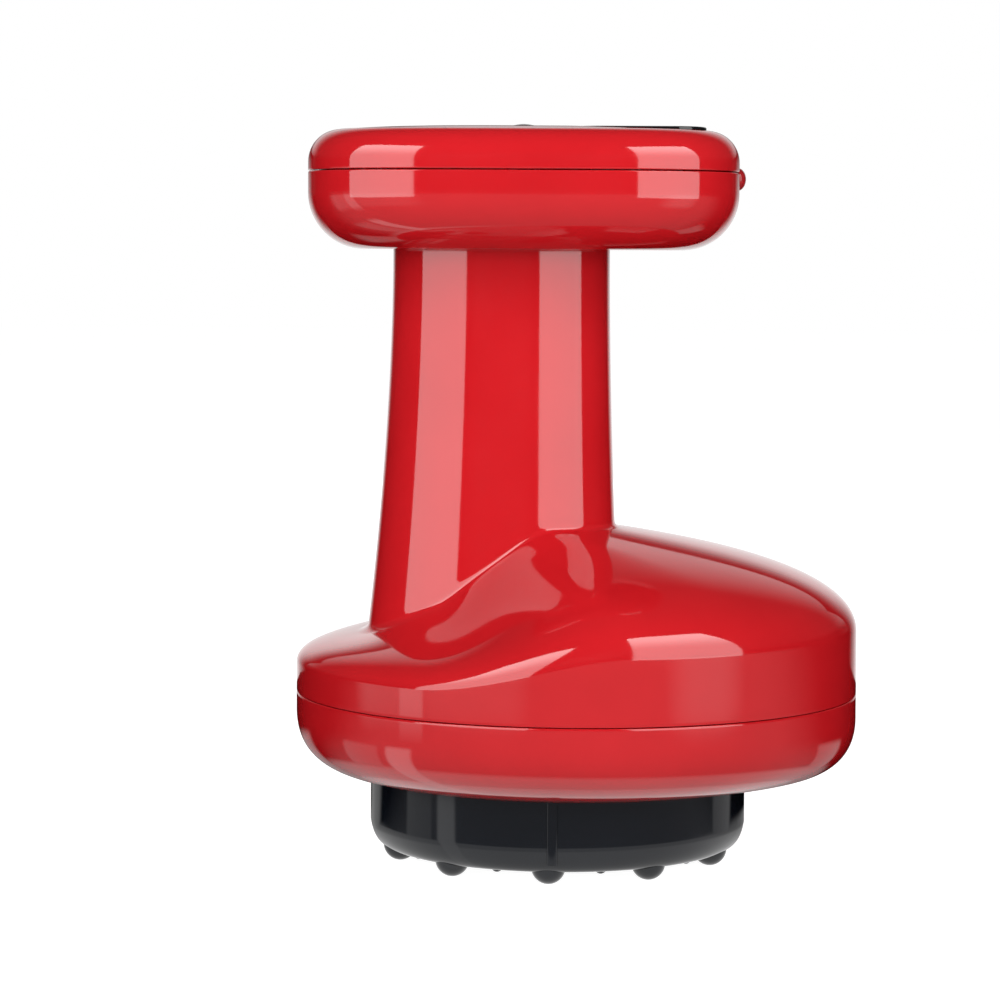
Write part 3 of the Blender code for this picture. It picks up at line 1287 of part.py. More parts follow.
def add_valve_body(material):
    foot = PLATE_TOP_HEIGHT + SEAT_GAP
    bore = PLUNGER_RADIUS + RUN_GAP
    bore_foot = VALVE_TOP_HEIGHT - PLUNGER_DEPTH - BUTTON_TRAVEL * 3
    outline = [
        (bore, VALVE_TOP_HEIGHT),
        (VALVE_RADIUS, VALVE_TOP_HEIGHT),
        (VALVE_RADIUS, foot),
        (PORT_RADIUS, foot),
        (PORT_RADIUS, bore_foot),
        (bore, bore_foot),
    ]
    turned("valve_body", outline, material, (VALVE_CENTRE, VALVE_DEPTH))


def add_valve_plunger(material):
    head_foot = VALVE_TOP_HEIGHT + SEAT_GAP * 2 + VALVE_SPRING_LENGTH
    outline = [
        (0.0, head_foot + PLUNGER_HEAD_THICKNESS),
        (PLUNGER_HEAD_RADIUS, head_foot + PLUNGER_HEAD_THICKNESS),
        (PLUNGER_HEAD_RADIUS, head_foot),
        (PLUNGER_RADIUS, head_foot),
        (PLUNGER_RADIUS, VALVE_TOP_HEIGHT - PLUNGER_DEPTH),
        (0.0, VALVE_TOP_HEIGHT - PLUNGER_DEPTH),
    ]
    turned("valve_plunger", outline, material, (VALVE_CENTRE, VALVE_DEPTH), closed=False, sides=16)


def add_valve_spring(material):
    foot = VALVE_TOP_HEIGHT + SEAT_GAP
    inner = PLUNGER_RADIUS + RUN_GAP
    outline = washer_outline(inner, inner + VALVE_SPRING_WALL, foot, foot + VALVE_SPRING_LENGTH)
    turned("valve_spring", outline, material, (VALVE_CENTRE, VALVE_DEPTH), sides=16)


# Battery and flat cable

def add_battery_cell(material):
    foot = HOLDER_FOOT_HEIGHT + HOLDER_FLOOR + SEAT_GAP
    top = foot + CELL_LENGTH
    outline = [
        (0.0, top + CELL_TIP_HEIGHT),
        (CELL_TIP_RADIUS, top + CELL_TIP_HEIGHT),
        (CELL_TIP_RADIUS, top),
        (CELL_RADIUS, top),
        (CELL_RADIUS, foot),
        (0.0, foot),
    ]
    turned("battery_cell", outline, material, (HANDLE_CENTRE, 0.0), closed=False)


def add_battery_holder(material):
    bore = CELL_RADIUS + SEAT_GAP
    outer = bore + HOLDER_WALL
    floor_top = HOLDER_FOOT_HEIGHT + HOLDER_FLOOR
    top = HOLDER_FOOT_HEIGHT + HOLDER_LENGTH
    outline = [
        (bore, top),
        (outer, top),
        (outer, HOLDER_FOOT_HEIGHT),
        (CELL_TIP_RADIUS, HOLDER_FOOT_HEIGHT),
        (CELL_TIP_RADIUS, floor_top),
        (bore, floor_top),
    ]
    item = turned("battery_holder", outline, material, (HANDLE_CENTRE, 0.0))
    half = HOLDER_FIN_WIDTH / 2
    start = bore + HOLDER_WALL / 2
    fin_foot = top - HOLDER_FIN_WIDTH * 2
    for side in (-1, 1):
        reach = sorted((side * start, side * holder_fin_reach(fin_foot)))
        low = (HANDLE_CENTRE - half, reach[0], fin_foot)
        high = (HANDLE_CENTRE + half, reach[1], top)
        join(item, "holder_fin", block(low, high))


def holder_fin_reach(height):
    """How far a fin goes to lie against the inside of the handle, at the fin's upper end, where it is narrowest."""
    top = height + HOLDER_FIN_WIDTH * 2
    return handle_point(math.pi / 2, top).y - SHELL_WALL - SEAT_GAP * 2


def ribbon_points():
    rise = CONTROL_BOARD_HEIGHT - SEAT_GAP
    return [*RIBBON_ROUTE, (RIBBON_ROUTE[-1][0], rise)]


def add_ribbon_cable(material):
    """A flat cable: its route in the XZ plane, given a thickness and a width."""
    route = [Vector(point) for point in ribbon_points()]
    left, right = [], []
    for step, point in enumerate(route):
        along = (route[min(step + 1, len(route) - 1)] - route[max(step - 1, 0)]).normalized()
        across = Vector((-along.y, along.x)) * (RIBBON_THICKNESS / 2)
        left.append(point + across)
        right.append(point - across)
    shape = bmesh.new()
    corners = [shape.verts.new((x, -RIBBON_HALF_WIDTH, z)) for x, z in left + right[::-1]]
    face = shape.faces.new(corners)
    raised = bmesh.ops.extrude_face_region(shape, geom=[face])
    moved = [item for item in raised["geom"] if isinstance(item, bmesh.types.BMVert)]
    bmesh.ops.translate(shape, vec=(0.0, RIBBON_HALF_WIDTH * 2, 0.0), verts=moved)
    add_object("ribbon_cable", mesh_from("ribbon_cable", shape), material)


def build():
    global PARTS, CUTTERS
    clear_scene()
    PARTS = make_collection("cupping_massager")
    CUTTERS = make_collection("cutters")
    case_red = make_material("case_red", (0.62, 0.012, 0.016), 0.12)
    ring_black = make_material("ring_black", (0.012, 0.013, 0.015), 0.16)
    button_brown = make_material("button_brown", (0.035, 0.012, 0.010), 0.25)
    panel_black = make_material("panel_black", (0.006, 0.006, 0.007), 0.06)
    indicator_red = make_material("indicator_red", (0.35, 0.006, 0.010), 0.08)
    clear_lens = make_material("clear_lens", (0.75, 0.25, 0.2), 0.15)
    inner_plastic = make_material("inner_plastic", (0.08, 0.08, 0.085), 0.5)
    rubber = make_material("rubber", (0.02, 0.02, 0.02), 0.7)
    silicone = make_material("silicone", (0.65, 0.66, 0.66), 0.4)
    board_green = make_material("board_green", (0.01, 0.12, 0.04), 0.4)
    steel = make_material("steel", (0.55, 0.56, 0.58), 0.3, 1.0)
    cell_blue = make_material("cell_blue", (0.02, 0.08, 0.3), 0.35)
    white_plastic = make_material("white_plastic", (0.7, 0.7, 0.68), 0.4)

    add_body_shell(case_red)
    add_base_lower_shell(case_red)
    add_head_lower_shell(case_red)
    add_head_top_cover(case_red)
    add_power_button(button_brown)
    add_control_panel_lens(panel_black)
    add_indicator_lens(indicator_red)
    add_cup_ring(ring_black)
    add_cup_plate(inner_plastic)
    add_cup_gasket(rubber)
    add_suction_filter(steel)
    add_light_ring_lens(clear_lens)
    add_light_board(board_green)
    add_main_board(board_green)
    add_control_board(board_green)
    add_button_switch(steel)
    add_display_module(white_plastic)
    add_charging_socket(steel)
    add_pump_cradle(inner_plastic)
    add_pump_motor(steel)
    add_pump_shaft(steel)
    add_pump_head(white_plastic)
    add_pump_diaphragm(rubber)
    add_pump_lid(white_plastic)
    add_suction_hose(silicone)
    add_valve_body(steel)
    add_valve_plunger(steel)
    add_valve_spring(steel)
    add_battery_cell(cell_blue)
    add_battery_holder(inner_plastic)
    add_ribbon_cable(white_plastic)
    add_all_screws(steel)


build()
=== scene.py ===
"""Looks of a hand-held electric cupping massager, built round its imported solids.

The red case, the black cup ring, the pieces on the head, the base screws and the valve spring are remade here
with fine curves. The other pieces stay as solids and get their finishes. Metres, +Z up, the same frame as the
solids.
"""

from __future__ import annotations

import json
import logging
import math
from collections.abc import Callable, Iterable, Sequence
from dataclasses import dataclass, field
from enum import Enum

import bmesh
import bpy
from mathutils import Matrix, Vector

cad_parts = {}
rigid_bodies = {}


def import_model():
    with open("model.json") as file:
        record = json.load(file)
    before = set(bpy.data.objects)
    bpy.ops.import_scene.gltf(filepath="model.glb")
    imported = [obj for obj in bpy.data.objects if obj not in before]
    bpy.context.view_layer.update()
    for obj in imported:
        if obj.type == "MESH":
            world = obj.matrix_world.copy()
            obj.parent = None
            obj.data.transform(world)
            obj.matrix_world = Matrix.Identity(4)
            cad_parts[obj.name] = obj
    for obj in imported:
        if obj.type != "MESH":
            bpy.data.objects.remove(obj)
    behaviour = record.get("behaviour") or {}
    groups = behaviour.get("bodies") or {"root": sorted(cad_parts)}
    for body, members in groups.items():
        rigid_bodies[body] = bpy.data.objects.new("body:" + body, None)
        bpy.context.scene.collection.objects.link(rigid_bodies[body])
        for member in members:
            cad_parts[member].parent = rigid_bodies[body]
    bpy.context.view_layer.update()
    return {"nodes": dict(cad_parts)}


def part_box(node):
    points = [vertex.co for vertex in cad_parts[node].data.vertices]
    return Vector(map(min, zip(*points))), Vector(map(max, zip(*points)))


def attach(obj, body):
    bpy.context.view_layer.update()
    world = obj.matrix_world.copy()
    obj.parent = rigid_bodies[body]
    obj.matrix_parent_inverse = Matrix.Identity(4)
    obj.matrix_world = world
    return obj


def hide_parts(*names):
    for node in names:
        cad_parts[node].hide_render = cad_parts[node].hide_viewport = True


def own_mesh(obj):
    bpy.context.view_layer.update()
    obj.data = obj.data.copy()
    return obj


LOG = logging.getLogger("massager")

Triple = tuple[float, float, float]
Colour = Triple
Outline = list[tuple[float, float]]
Socket = bpy.types.NodeSocket
Node = bpy.types.ShaderNode

EVEN: Triple = (1.0, 1.0, 1.0)
WHITE = (1.0, 1.0, 1.0, 1.0)
PATTERN_FAINT = 0.3
PATTERN_STRONG = 0.7
ELLIPSE = 2.0


class Body(Enum):
    """Bodies that the remade pieces move with."""

    CASE = "case"
    RING = "twist_ring"
    BUTTON = "button"


class Slot(Enum):
    """Material slots of the record, one for each finish of the remade pieces."""

    CASE = "case_red"
    RING = "ring_black"
    BUTTON = "button_brown"
    PANEL = "panel_black"
    INDICATOR = "indicator_red"
    STEEL = "steel"


# Nodes


@dataclass(frozen=True)
class Fade:
    """A steady change from one number to another.

    Args:
        start: where it starts.
        end: where it ends.
        first: the number up to its start.
        last: the number from its end on.
    """

    start: float
    end: float
    first: float = 0.0
    last: float = 1.0


@dataclass(frozen=True)
class Graph:
    """The nodes of a material, a lamp or the world.

    Args:
        tree: the tree that they are in.
    """

    tree: bpy.types.NodeTree

    def feed(self, socket: Socket, value: object) -> None:
        """Links an input to another node's output, or sets it to a value."""
        if isinstance(value, bpy.types.NodeSocket):
            self.tree.links.new(value, socket)
        else:
            socket.default_value = value

    def node(self, kind: str, **inputs: object) -> Node:
        """Adds a node.

        Args:
            kind: the node's type, without the word that all types start with.
            inputs: outputs or values for its inputs by name, with underscores for spaces.

        Returns:
            The new node.
        """
        made = self.tree.nodes.new(f"ShaderNode{kind}")
        for name, value in inputs.items():
            self.feed(made.inputs[name.replace("_", " ")], value)
        return made

    def run(self, kind: str, *inputs: object) -> Socket:
        """Adds a node, feeds its first inputs in order and returns its first output."""
        made = self.node(kind)
        for socket, value in zip(made.inputs, inputs):
            self.feed(socket, value)
        return made.outputs[0]

    def maths(self, operation: str, *values: object) -> Socket:
        """Returns the result of one sum on outputs or numbers."""
        result = self.run("Math", *values)
        result.node.operation = operation
        return result

    def ramp(self, value: Socket, fade: Fade, interpolation: str = "SMOOTHSTEP") -> Socket:
        """Turns numbers into others by a fade.

        Args:
            value: the output of the numbers.
            fade: what they become.
            interpolation: LINEAR, or SMOOTHSTEP for soft ends.

        Returns:
            The output of the new numbers.
        """
        made = self.node("MapRange", Value=value, From_Min=fade.start, From_Max=fade.end,
                         To_Min=fade.first, To_Max=fade.last)
        made.interpolation_type = interpolation
        return made.outputs["Result"]


def grey(level: float) -> tuple[float, float, float, float]:
    """Returns the opaque grey of this level."""
    return level, level, level, 1.0


def blank_material(name: str) -> tuple[bpy.types.Material, Graph]:
    """Returns a new material with no nodes, and its graph."""
    material = bpy.data.materials.new(name)
    material.use_nodes = True
    material.node_tree.nodes.clear()
    return material, Graph(material.node_tree)


# Finishes


@dataclass
class NodeWriter:
    """A material whose nodes are written one after another.

    Args:
        name: the material's name.
        colour: the base colour, linear.
        roughness: the mean roughness.
        metallic: 1 for metal.
    """

    name: str
    colour: Colour
    roughness: float
    metallic: float = 0.0
    material: bpy.types.Material = field(init=False)
    graph: Graph = field(init=False)
    shader: Node = field(init=False)

    def __post_init__(self) -> None:
        """Makes the material and keeps its nodes."""
        self.material = bpy.data.materials.new(self.name)
        self.material.use_nodes = True
        self.material.diffuse_color = (*self.colour, 1.0)
        self.graph = Graph(self.material.node_tree)
        self.shader = self.material.node_tree.nodes["Principled BSDF"]
        self.fix("Base Color", (*self.colour, 1.0))
        self.fix("Roughness", self.roughness)
        self.fix("Metallic", self.metallic)

    def fix(self, socket: str, value: object) -> None:
        """Sets or links one of the shader's own inputs."""
        self.graph.feed(self.shader.inputs[socket], value)

    def place(self, stretch: Triple = EVEN) -> Socket:
        """Coordinates on the piece itself.

        Args:
            stretch: how much finer the pattern runs along each axis.

        Returns:
            The output of the stretched coordinates.
        """
        where = self.graph.node("TexCoord").outputs["Object"]
        return self.graph.node("Mapping", Scale=stretch, Vector=where).outputs["Vector"]

    def noise(self, scale: float, detail: float = 2.0, stretch: Triple = EVEN) -> Socket:
        """A cloud pattern.

        Args:
            scale: how many clouds a metre holds.
            detail: how many finer layers it has.
            stretch: how much finer it runs along each axis.

        Returns:
            The output of its value, 0 to 1.
        """
        where = self.place(stretch)
        return self.graph.node("TexNoise", Scale=scale, Detail=detail, Vector=where).outputs["Fac"]

    def spread(self, value: Socket, low: float = 0.0, high: float = 1.0) -> Socket:
        """Turns the middle part of a pattern into a range of numbers.

        Args:
            value: the pattern.
            low: the number where the pattern is faint.
            high: the number where it is strong.

        Returns:
            The output of the number.
        """
        return self.graph.ramp(value, Fade(PATTERN_FAINT, PATTERN_STRONG, low, high), "LINEAR")

    def paint(self, value: Socket, first: Colour, second: Colour) -> None:
        """Colours the piece between two colours.

        Args:
            value: the pattern.
            first: the colour where the pattern is 0.
            second: the colour where it is 1.
        """
        made = self.graph.node("Mix")
        made.data_type = "RGBA"
        colours = {"A": first, "B": second}
        for socket in made.inputs:
            if socket.type == "RGBA":
                socket.default_value = (*colours[socket.name], 1.0)
        self.graph.feed(made.inputs["Factor"], value)
        self.fix("Base Color", next(socket for socket in made.outputs if socket.type == "RGBA"))

    def shine(self, value: Socket, gloss: tuple[float, float]) -> None:
        """Varies the roughness by a pattern between the two values of gloss."""
        self.fix("Roughness", self.spread(value, *gloss))

    def relief(self, value: Socket, strength: float, depth: float) -> None:
        """Raises the surface by a pattern.

        Args:
            value: the pattern.
            strength: how strongly it shades.
            depth: its height in metres.
        """
        made = self.graph.node("Bump", Strength=strength, Distance=depth, Height=value)
        self.fix("Normal", made.outputs["Normal"])


@dataclass(frozen=True)
class Moulding:
    """Injection-moulded plastic, from mirror gloss to matt.

    Args:
        name: the material's name.
        deep: the colour where the pigment is densest.
        light: the colour where it is thinnest.
        gloss: lowest and highest roughness.
        peel_depth: height of the faint waves of the mould, metres.
        peel_scale: waves a metre.
        peel_strength: how strongly the waves shade.
        coat: weight of the clear layer on top.
        specular: level of the mirror reflection, 0.5 for common plastic.
        clouds: patches of thinner pigment a metre.
        handling: patches of duller gloss a metre.
    """

    name: str
    deep: Colour
    light: Colour
    gloss: tuple[float, float]
    peel_depth: float = 0.00002
    peel_scale: float = 260.0
    peel_strength: float = 0.05
    coat: float = 0.0
    specular: float = 0.5
    clouds: float = 55.0
    handling: float = 120.0

    def make(self) -> bpy.types.Material:
        """Returns the material."""
        writer = NodeWriter(self.name, self.deep, self.gloss[0])
        writer.paint(writer.spread(writer.noise(self.clouds, detail=3.0)), self.deep, self.light)
        writer.shine(writer.noise(self.handling, detail=4.0), self.gloss)
        writer.relief(writer.noise(self.peel_scale), self.peel_strength, self.peel_depth)
        writer.fix("Specular IOR Level", self.specular)
        writer.fix("Coat Weight", self.coat)
        writer.fix("Coat Roughness", self.gloss[0])
        return writer.material


@dataclass(frozen=True)
class Lens:
    """Clear or tinted plastic that lets light through.

    Args:
        name: the material's name.
        tint: its colour.
        clearness: share of light let through.
        gloss: lowest and highest roughness.
        ridges: rings a metre of the faint prisms inside it.
        ridge_height: their height in metres.
        ridge_strength: how strongly they shade.
        pale_gain: how much paler its thin places are.
        pale_lift: the least that is added to each part of their colour.
        clouds: thin places a metre.
        handling: patches of duller gloss a metre.
    """

    name: str
    tint: Colour
    clearness: float
    gloss: tuple[float, float]
    ridges: float = 400.0
    ridge_height: float = 0.00003
    ridge_strength: float = 0.12
    pale_gain: float = 1.25
    pale_lift: float = 0.02
    clouds: float = 90.0
    handling: float = 160.0

    def make(self) -> bpy.types.Material:
        """Returns the material."""
        writer = NodeWriter(self.name, self.tint, self.gloss[0])
        paler = tuple(min(1.0, part * self.pale_gain + self.pale_lift) for part in self.tint)
        writer.paint(writer.noise(self.clouds), self.tint, paler)
        writer.shine(writer.noise(self.handling, detail=3.0), self.gloss)
        writer.relief(writer.noise(self.ridges, detail=1.0), self.ridge_strength, self.ridge_height)
        writer.fix("Transmission Weight", self.clearness)
        return writer.material


@dataclass(frozen=True)
class Metal:
    """Turned or pressed metal with fine tool lines.

    Args:
        name: the material's name.
        colour: its colour.
        gloss: lowest and highest roughness.
        lines: how much finer the tool lines run across than along.
        pitch: tool lines a metre, along.
        line_shade: how dark the lines are against the metal.
        line_strength: how strongly they shade.
        line_depth: their depth in metres.
    """

    name: str
    colour: Colour
    gloss: tuple[float, float]
    lines: Triple = (1.0, 1.0, 9.0)
    pitch: float = 220.0
    line_shade: float = 0.8
    line_strength: float = 0.1
    line_depth: float = 0.00002

    def make(self) -> bpy.types.Material:
        """Returns the material."""
        writer = NodeWriter(self.name, self.colour, self.gloss[0], metallic=1.0)
        darker = tuple(part * self.line_shade for part in self.colour)
        streaks = writer.noise(self.pitch, detail=3.0, stretch=self.lines)
        writer.paint(writer.spread(streaks), darker, self.colour)
        writer.shine(streaks, self.gloss)
        writer.relief(streaks, self.line_strength, self.line_depth)
        return writer.material


@dataclass(frozen=True)
class CircuitBoard:
    """Lacquered board with paler tracks.

    Args:
        name: the material's name.
        lacquer: colour of the lacquer.
        track: colour of a track under it.
        pitch: tracks a metre.
        stretch: how much finer the tracks run along each axis.
        track_edge: where in the pattern the lacquer gives way to a track.
        track_height: height of a track, metres.
        track_strength: how strongly it shades.
        gloss: lowest and highest roughness.
        roughness: mean roughness.
        handling: patches of duller gloss a metre.
    """

    name: str = "board lacquer"
    lacquer: Colour = (0.006, 0.085, 0.030)
    track: Colour = (0.020, 0.200, 0.075)
    pitch: float = 330.0
    stretch: Triple = (1.0, 0.45, 1.0)
    track_edge: Fade = Fade(0.55, 0.62)
    track_height: float = 0.00004
    track_strength: float = 0.3
    gloss: tuple[float, float] = (0.25, 0.45)
    roughness: float = 0.35
    handling: float = 300.0

    def make(self) -> bpy.types.Material:
        """Returns the material."""
        writer = NodeWriter(self.name, self.lacquer, self.roughness)
        cells = writer.graph.node("TexVoronoi")
        cells.distance = "CHEBYCHEV"
        cells.feature = "F2"
        writer.graph.feed(cells.inputs["Scale"], self.pitch)
        writer.graph.feed(cells.inputs["Vector"], writer.place(self.stretch))
        tracks = writer.graph.ramp(cells.outputs["Distance"], self.track_edge, "LINEAR")
        writer.paint(tracks, self.lacquer, self.track)
        writer.shine(writer.noise(self.handling), self.gloss)
        writer.relief(tracks, self.track_strength, self.track_height)
        return writer.material


@dataclass(frozen=True)
class WovenMesh:
    """Fine metal gauze of the filter cap.

    Args:
        name: the material's name.
        wire: colour of the wires.
        hole: colour of the holes between them, a painted shade, as the holes are not cut.
        pitch: wires a metre.
        hole_edge: how far from its middle a hole gives way to a wire.
        wire_height: height of the wires, metres.
        wire_strength: how strongly they shade.
        gloss: lowest and highest roughness.
        roughness: mean roughness.
        handling: patches of duller gloss a metre.
    """

    name: str = "filter gauze"
    wire: Colour = (0.50, 0.51, 0.53)
    hole: Colour = (0.03, 0.03, 0.03)
    pitch: float = 1900.0
    hole_edge: Fade = Fade(0.25, 0.4)
    wire_height: float = 0.0001
    wire_strength: float = 0.5
    gloss: tuple[float, float] = (0.25, 0.4)
    roughness: float = 0.3
    handling: float = 400.0

    def make(self) -> bpy.types.Material:
        """Returns the material."""
        writer = NodeWriter(self.name, self.wire, self.roughness, metallic=1.0)
        holes = writer.graph.node("TexVoronoi", Scale=self.pitch, Randomness=0.0, Vector=writer.place())
        wires = writer.graph.ramp(holes.outputs["Distance"], self.hole_edge, "LINEAR")
        # painted shade: the holes are near-black colour between the wires, not openings
        writer.paint(wires, self.hole, self.wire)
        writer.shine(writer.noise(self.handling), self.gloss)
        writer.relief(wires, self.wire_strength, self.wire_height)
        return writer.material


class Finish(Enum):
    """Finishes by what they cover."""

    CASE = Moulding("case gloss red", (0.53, 0.0092, 0.0135), (0.57, 0.0112, 0.0160), (0.045, 0.075),
                    specular=0.9)
    RING = Moulding("ring gloss black", (0.0050, 0.0066, 0.0102), (0.0066, 0.0084, 0.0125), (0.05, 0.09),
                    specular=0.45)
    BUTTON = Moulding("button dark brown", (0.020, 0.008, 0.007), (0.032, 0.013, 0.011), (0.12, 0.22))
    PANEL = Moulding("panel gloss black", (0.0045, 0.0045, 0.0050), (0.0065, 0.0065, 0.0070), (0.03, 0.05),
                     coat=0.4)
    INDICATOR = Lens("indicator red", (0.42, 0.006, 0.010), 0.25, (0.05, 0.10))
    LIGHT_LENS = Lens("light ring frosted", (0.78, 0.70, 0.68), 0.55, (0.30, 0.42))
    CEILING = Moulding("cup ceiling grey", (0.030, 0.030, 0.033), (0.040, 0.040, 0.043), (0.32, 0.48),
                       peel_scale=900.0, peel_strength=0.3)
    HOLDER = Moulding("holder dark", (0.045, 0.045, 0.050), (0.065, 0.065, 0.070), (0.40, 0.55),
                      peel_scale=700.0)
    WHITE = Moulding("pump white", (0.62, 0.61, 0.58), (0.70, 0.69, 0.67), (0.32, 0.46), peel_scale=500.0)
    RUBBER = Moulding("seal rubber", (0.015, 0.015, 0.016), (0.024, 0.024, 0.025), (0.60, 0.78),
                      peel_scale=1400.0, peel_strength=0.4)
    HOSE = Lens("hose silicone", (0.70, 0.71, 0.70), 0.35, (0.30, 0.45))
    STEEL = Metal("steel bright", (0.56, 0.57, 0.59), (0.22, 0.36))
    SCREW = Metal("screw zinc", (0.42, 0.43, 0.46), (0.26, 0.42), (9.0, 9.0, 1.0))
    CELL = Moulding("cell wrap blue", (0.010, 0.055, 0.220), (0.016, 0.080, 0.290), (0.20, 0.32), coat=0.5)
    RIBBON = Moulding("flat cable white", (0.55, 0.56, 0.58), (0.66, 0.67, 0.69), (0.35, 0.50))
    BOARD = CircuitBoard()
    GAUZE = WovenMesh()


class Paintbox:
    """Makes each finish once and hands it out."""

    def __init__(self) -> None:
        """Starts with no material made."""
        self._made: dict[Finish, bpy.types.Material] = {}

    def get(self, finish: Finish) -> bpy.types.Material:
        """Returns the material of a finish."""
        if finish not in self._made:
            self._made[finish] = finish.value.make()
        return self._made[finish]


# Mesh making


def mix(first: float, second: float, share: float) -> float:
    """Returns the number at a share of the way from first to second."""
    return first + (second - first) * share


def smooth_step(value: float, start: float, end: float) -> float:
    """Returns 0 before start, 1 after end, and a smooth climb between."""
    share = min(max((value - start) / (end - start), 0.0), 1.0)
    return share * share * (3.0 - 2.0 * share)


def smooth_minimum(first: float, second: float, blend: float) -> float:
    """Returns the lower number, with the corner between them rounded over blend."""
    share = min(max(0.5 + 0.5 * (second - first) / blend, 0.0), 1.0)
    return mix(second, first, share) - blend * share * (1.0 - share)


def bezier(points: Sequence[Vector], share: float) -> Vector:
    """Returns the point at a share along a cubic curve with four control points."""
    rest = 1.0 - share
    first, second, third, fourth = points
    start = first * rest**3 + second * (3.0 * rest * rest * share)
    return start + third * (3.0 * rest * share * share) + fourth * share**3


def polar_reach(angle: float, half_width: float, half_depth: float, squareness: float) -> float:
    """How far a rounded section reaches from its centre.

    Args:
        angle: the direction.
        half_width: reach along X.
        half_depth: reach along Y.
        squareness: 2 for an ellipse, more for a squarer section.

    Returns:
        The reach in metres.
    """
    across = (abs(math.cos(angle)) / half_width) ** squareness
    along = (abs(math.sin(angle)) / half_depth) ** squareness
    return (across + along) ** (-1.0 / squareness)


def circle(count: int, phase: float = 0.0) -> list[float]:
    """Returns count directions round a circle, from phase."""
    return [phase + math.tau * step / count for step in range(count)]


def on_circle(centre: float, radius: float, angle: float) -> tuple[float, float]:
    """Returns the point at an angle on a circle about (centre, 0)."""
    return centre + radius * math.cos(angle), radius * math.sin(angle)


def show(name: str, mesh: bpy.types.Mesh) -> bpy.types.Object:
    """Returns a new object with the mesh, in the scene."""
    item = bpy.data.objects.new(name, mesh)
    bpy.context.scene.collection.objects.link(item)
    return item


def release(name: str, shape: bmesh.types.BMesh) -> bpy.types.Object:
    """Returns a new object of the shape, in the scene, and frees the shape."""
    mesh = bpy.data.meshes.new(name)
    shape.to_mesh(mesh)
    shape.free()
    return show(name, mesh)


def quarter(steps: int, start: int = 0) -> list[tuple[float, float]]:
    """Returns the sine and cosine of even steps through a right angle."""
    turns = [math.pi / 2 * step / steps for step in range(start, steps + 1)]
    return [(math.sin(turn), math.cos(turn)) for turn in turns]


def sheet(name: str, points: Sequence[Triple]) -> bpy.types.Object:
    """Returns a flat object with its corners at these points, in the scene."""
    mesh = bpy.data.meshes.new(name)
    mesh.from_pydata(points, [], [tuple(range(len(points)))])
    return show(name, mesh)


def loft(name: str, columns: Sequence[Sequence[Vector]]) -> bpy.types.Object:
    """A skin between profiles that stand round an upright axis.

    Args:
        name: the object's name.
        columns: one profile for each direction, anticlockwise, each from its foot up.

    Returns:
        The open skin, facing out.
    """
    rows = len(columns[0])
    count = len(columns)
    points = [tuple(point) for column in columns for point in column]
    faces = []
    for side in range(count):
        here, after = side * rows, (side + 1) % count * rows
        faces += [(here + row, after + row, after + row + 1, here + row + 1) for row in range(rows - 1)]
    mesh = bpy.data.meshes.new(name)
    mesh.from_pydata(points, [], faces)
    return show(name, mesh)


def lathe(name: str, outline: Outline, centre: tuple[float, float], sides: int,
          closed: bool = False) -> bpy.types.Object:
    """A piece turned about an upright axis.

    Args:
        name: the object's name.
        outline: radius and height of each point.
        centre: X and Y of the axis.
        sides: how many steps go round.
        closed: True where the outline is a loop off the axis, False where it runs from axis to axis.

    Returns:
        The closed piece.
    """
    shape = bmesh.new()
    angles = circle(sides)
    rings = []
    for radius, height in outline:
        if radius <= 0.0:
            rings.append([shape.verts.new((centre[0], centre[1], height))])
        else:
            ring = []
            for angle in angles:
                x, y = on_circle(centre[0], radius, angle)
                ring.append(shape.verts.new((x, y + centre[1], height)))
            rings.append(ring)
    if closed:
        rings.append(rings[0])
    for lower, upper in zip(rings, rings[1:]):
        for side in range(sides):
            points = [lower[side % len(lower)], lower[(side + 1) % len(lower)],
                      upper[(side + 1) % len(upper)], upper[side % len(upper)]]
            shape.faces.new(list(dict.fromkeys(points)))
    bmesh.ops.recalc_face_normals(shape, faces=shape.faces)
    return release(name, shape)


def rounded_corners(width: float, depth: float, corner: float, steps: int) -> Outline:
    """Points round a rectangle with rounded corners, about the origin.

    Args:
        width: its size along X.
        depth: its size along Y.
        corner: radius of the corners.
        steps: faces round each corner.

    Returns:
        The points, anticlockwise.
    """
    points = []
    for number, (sign_x, sign_y) in enumerate(((1, 1), (-1, 1), (-1, -1), (1, -1))):
        for step in range(steps + 1):
            angle = math.pi / 2 * (number + step / steps)
            x = sign_x * (width / 2 - corner) + corner * math.cos(angle)
            y = sign_y * (depth / 2 - corner) + corner * math.sin(angle)
            points.append((x, y))
    return points


def stack(name: str, layers: Sequence[tuple[Outline, float]],
          centre: tuple[float, float] = (0.0, 0.0)) -> bpy.types.Object:
    """A closed piece from flat outlines of as many points each, one above another.

    Args:
        name: the object's name.
        layers: each outline with its height, from the foot up.
        centre: X and Y of the middle.

    Returns:
        The closed piece.
    """
    shape = bmesh.new()
    rings = []
    for points, height in layers:
        rings.append([shape.verts.new((x + centre[0], y + centre[1], height)) for x, y in points])
    count = len(rings[0])
    shape.faces.new(rings[0][::-1])
    shape.faces.new(rings[-1])
    for lower, upper in zip(rings, rings[1:]):
        for side in range(count):
            after = (side + 1) % count
            shape.faces.new((lower[side], lower[after], upper[after], upper[side]))
    return release(name, shape)


def rod(name: str, start: Vector, end: Vector, radius: float, sides: int = 48) -> bpy.types.Object:
    """Returns a round rod between two points, used for cutting."""
    shape = bmesh.new()
    axis = end - start
    turn = axis.to_track_quat("Z", "Y").to_matrix().to_4x4()
    place = Matrix.Translation((start + end) / 2) @ turn
    bmesh.ops.create_cone(shape, cap_ends=True, segments=sides, radius1=radius, radius2=radius,
                          depth=axis.length, matrix=place)
    return release(name, shape)


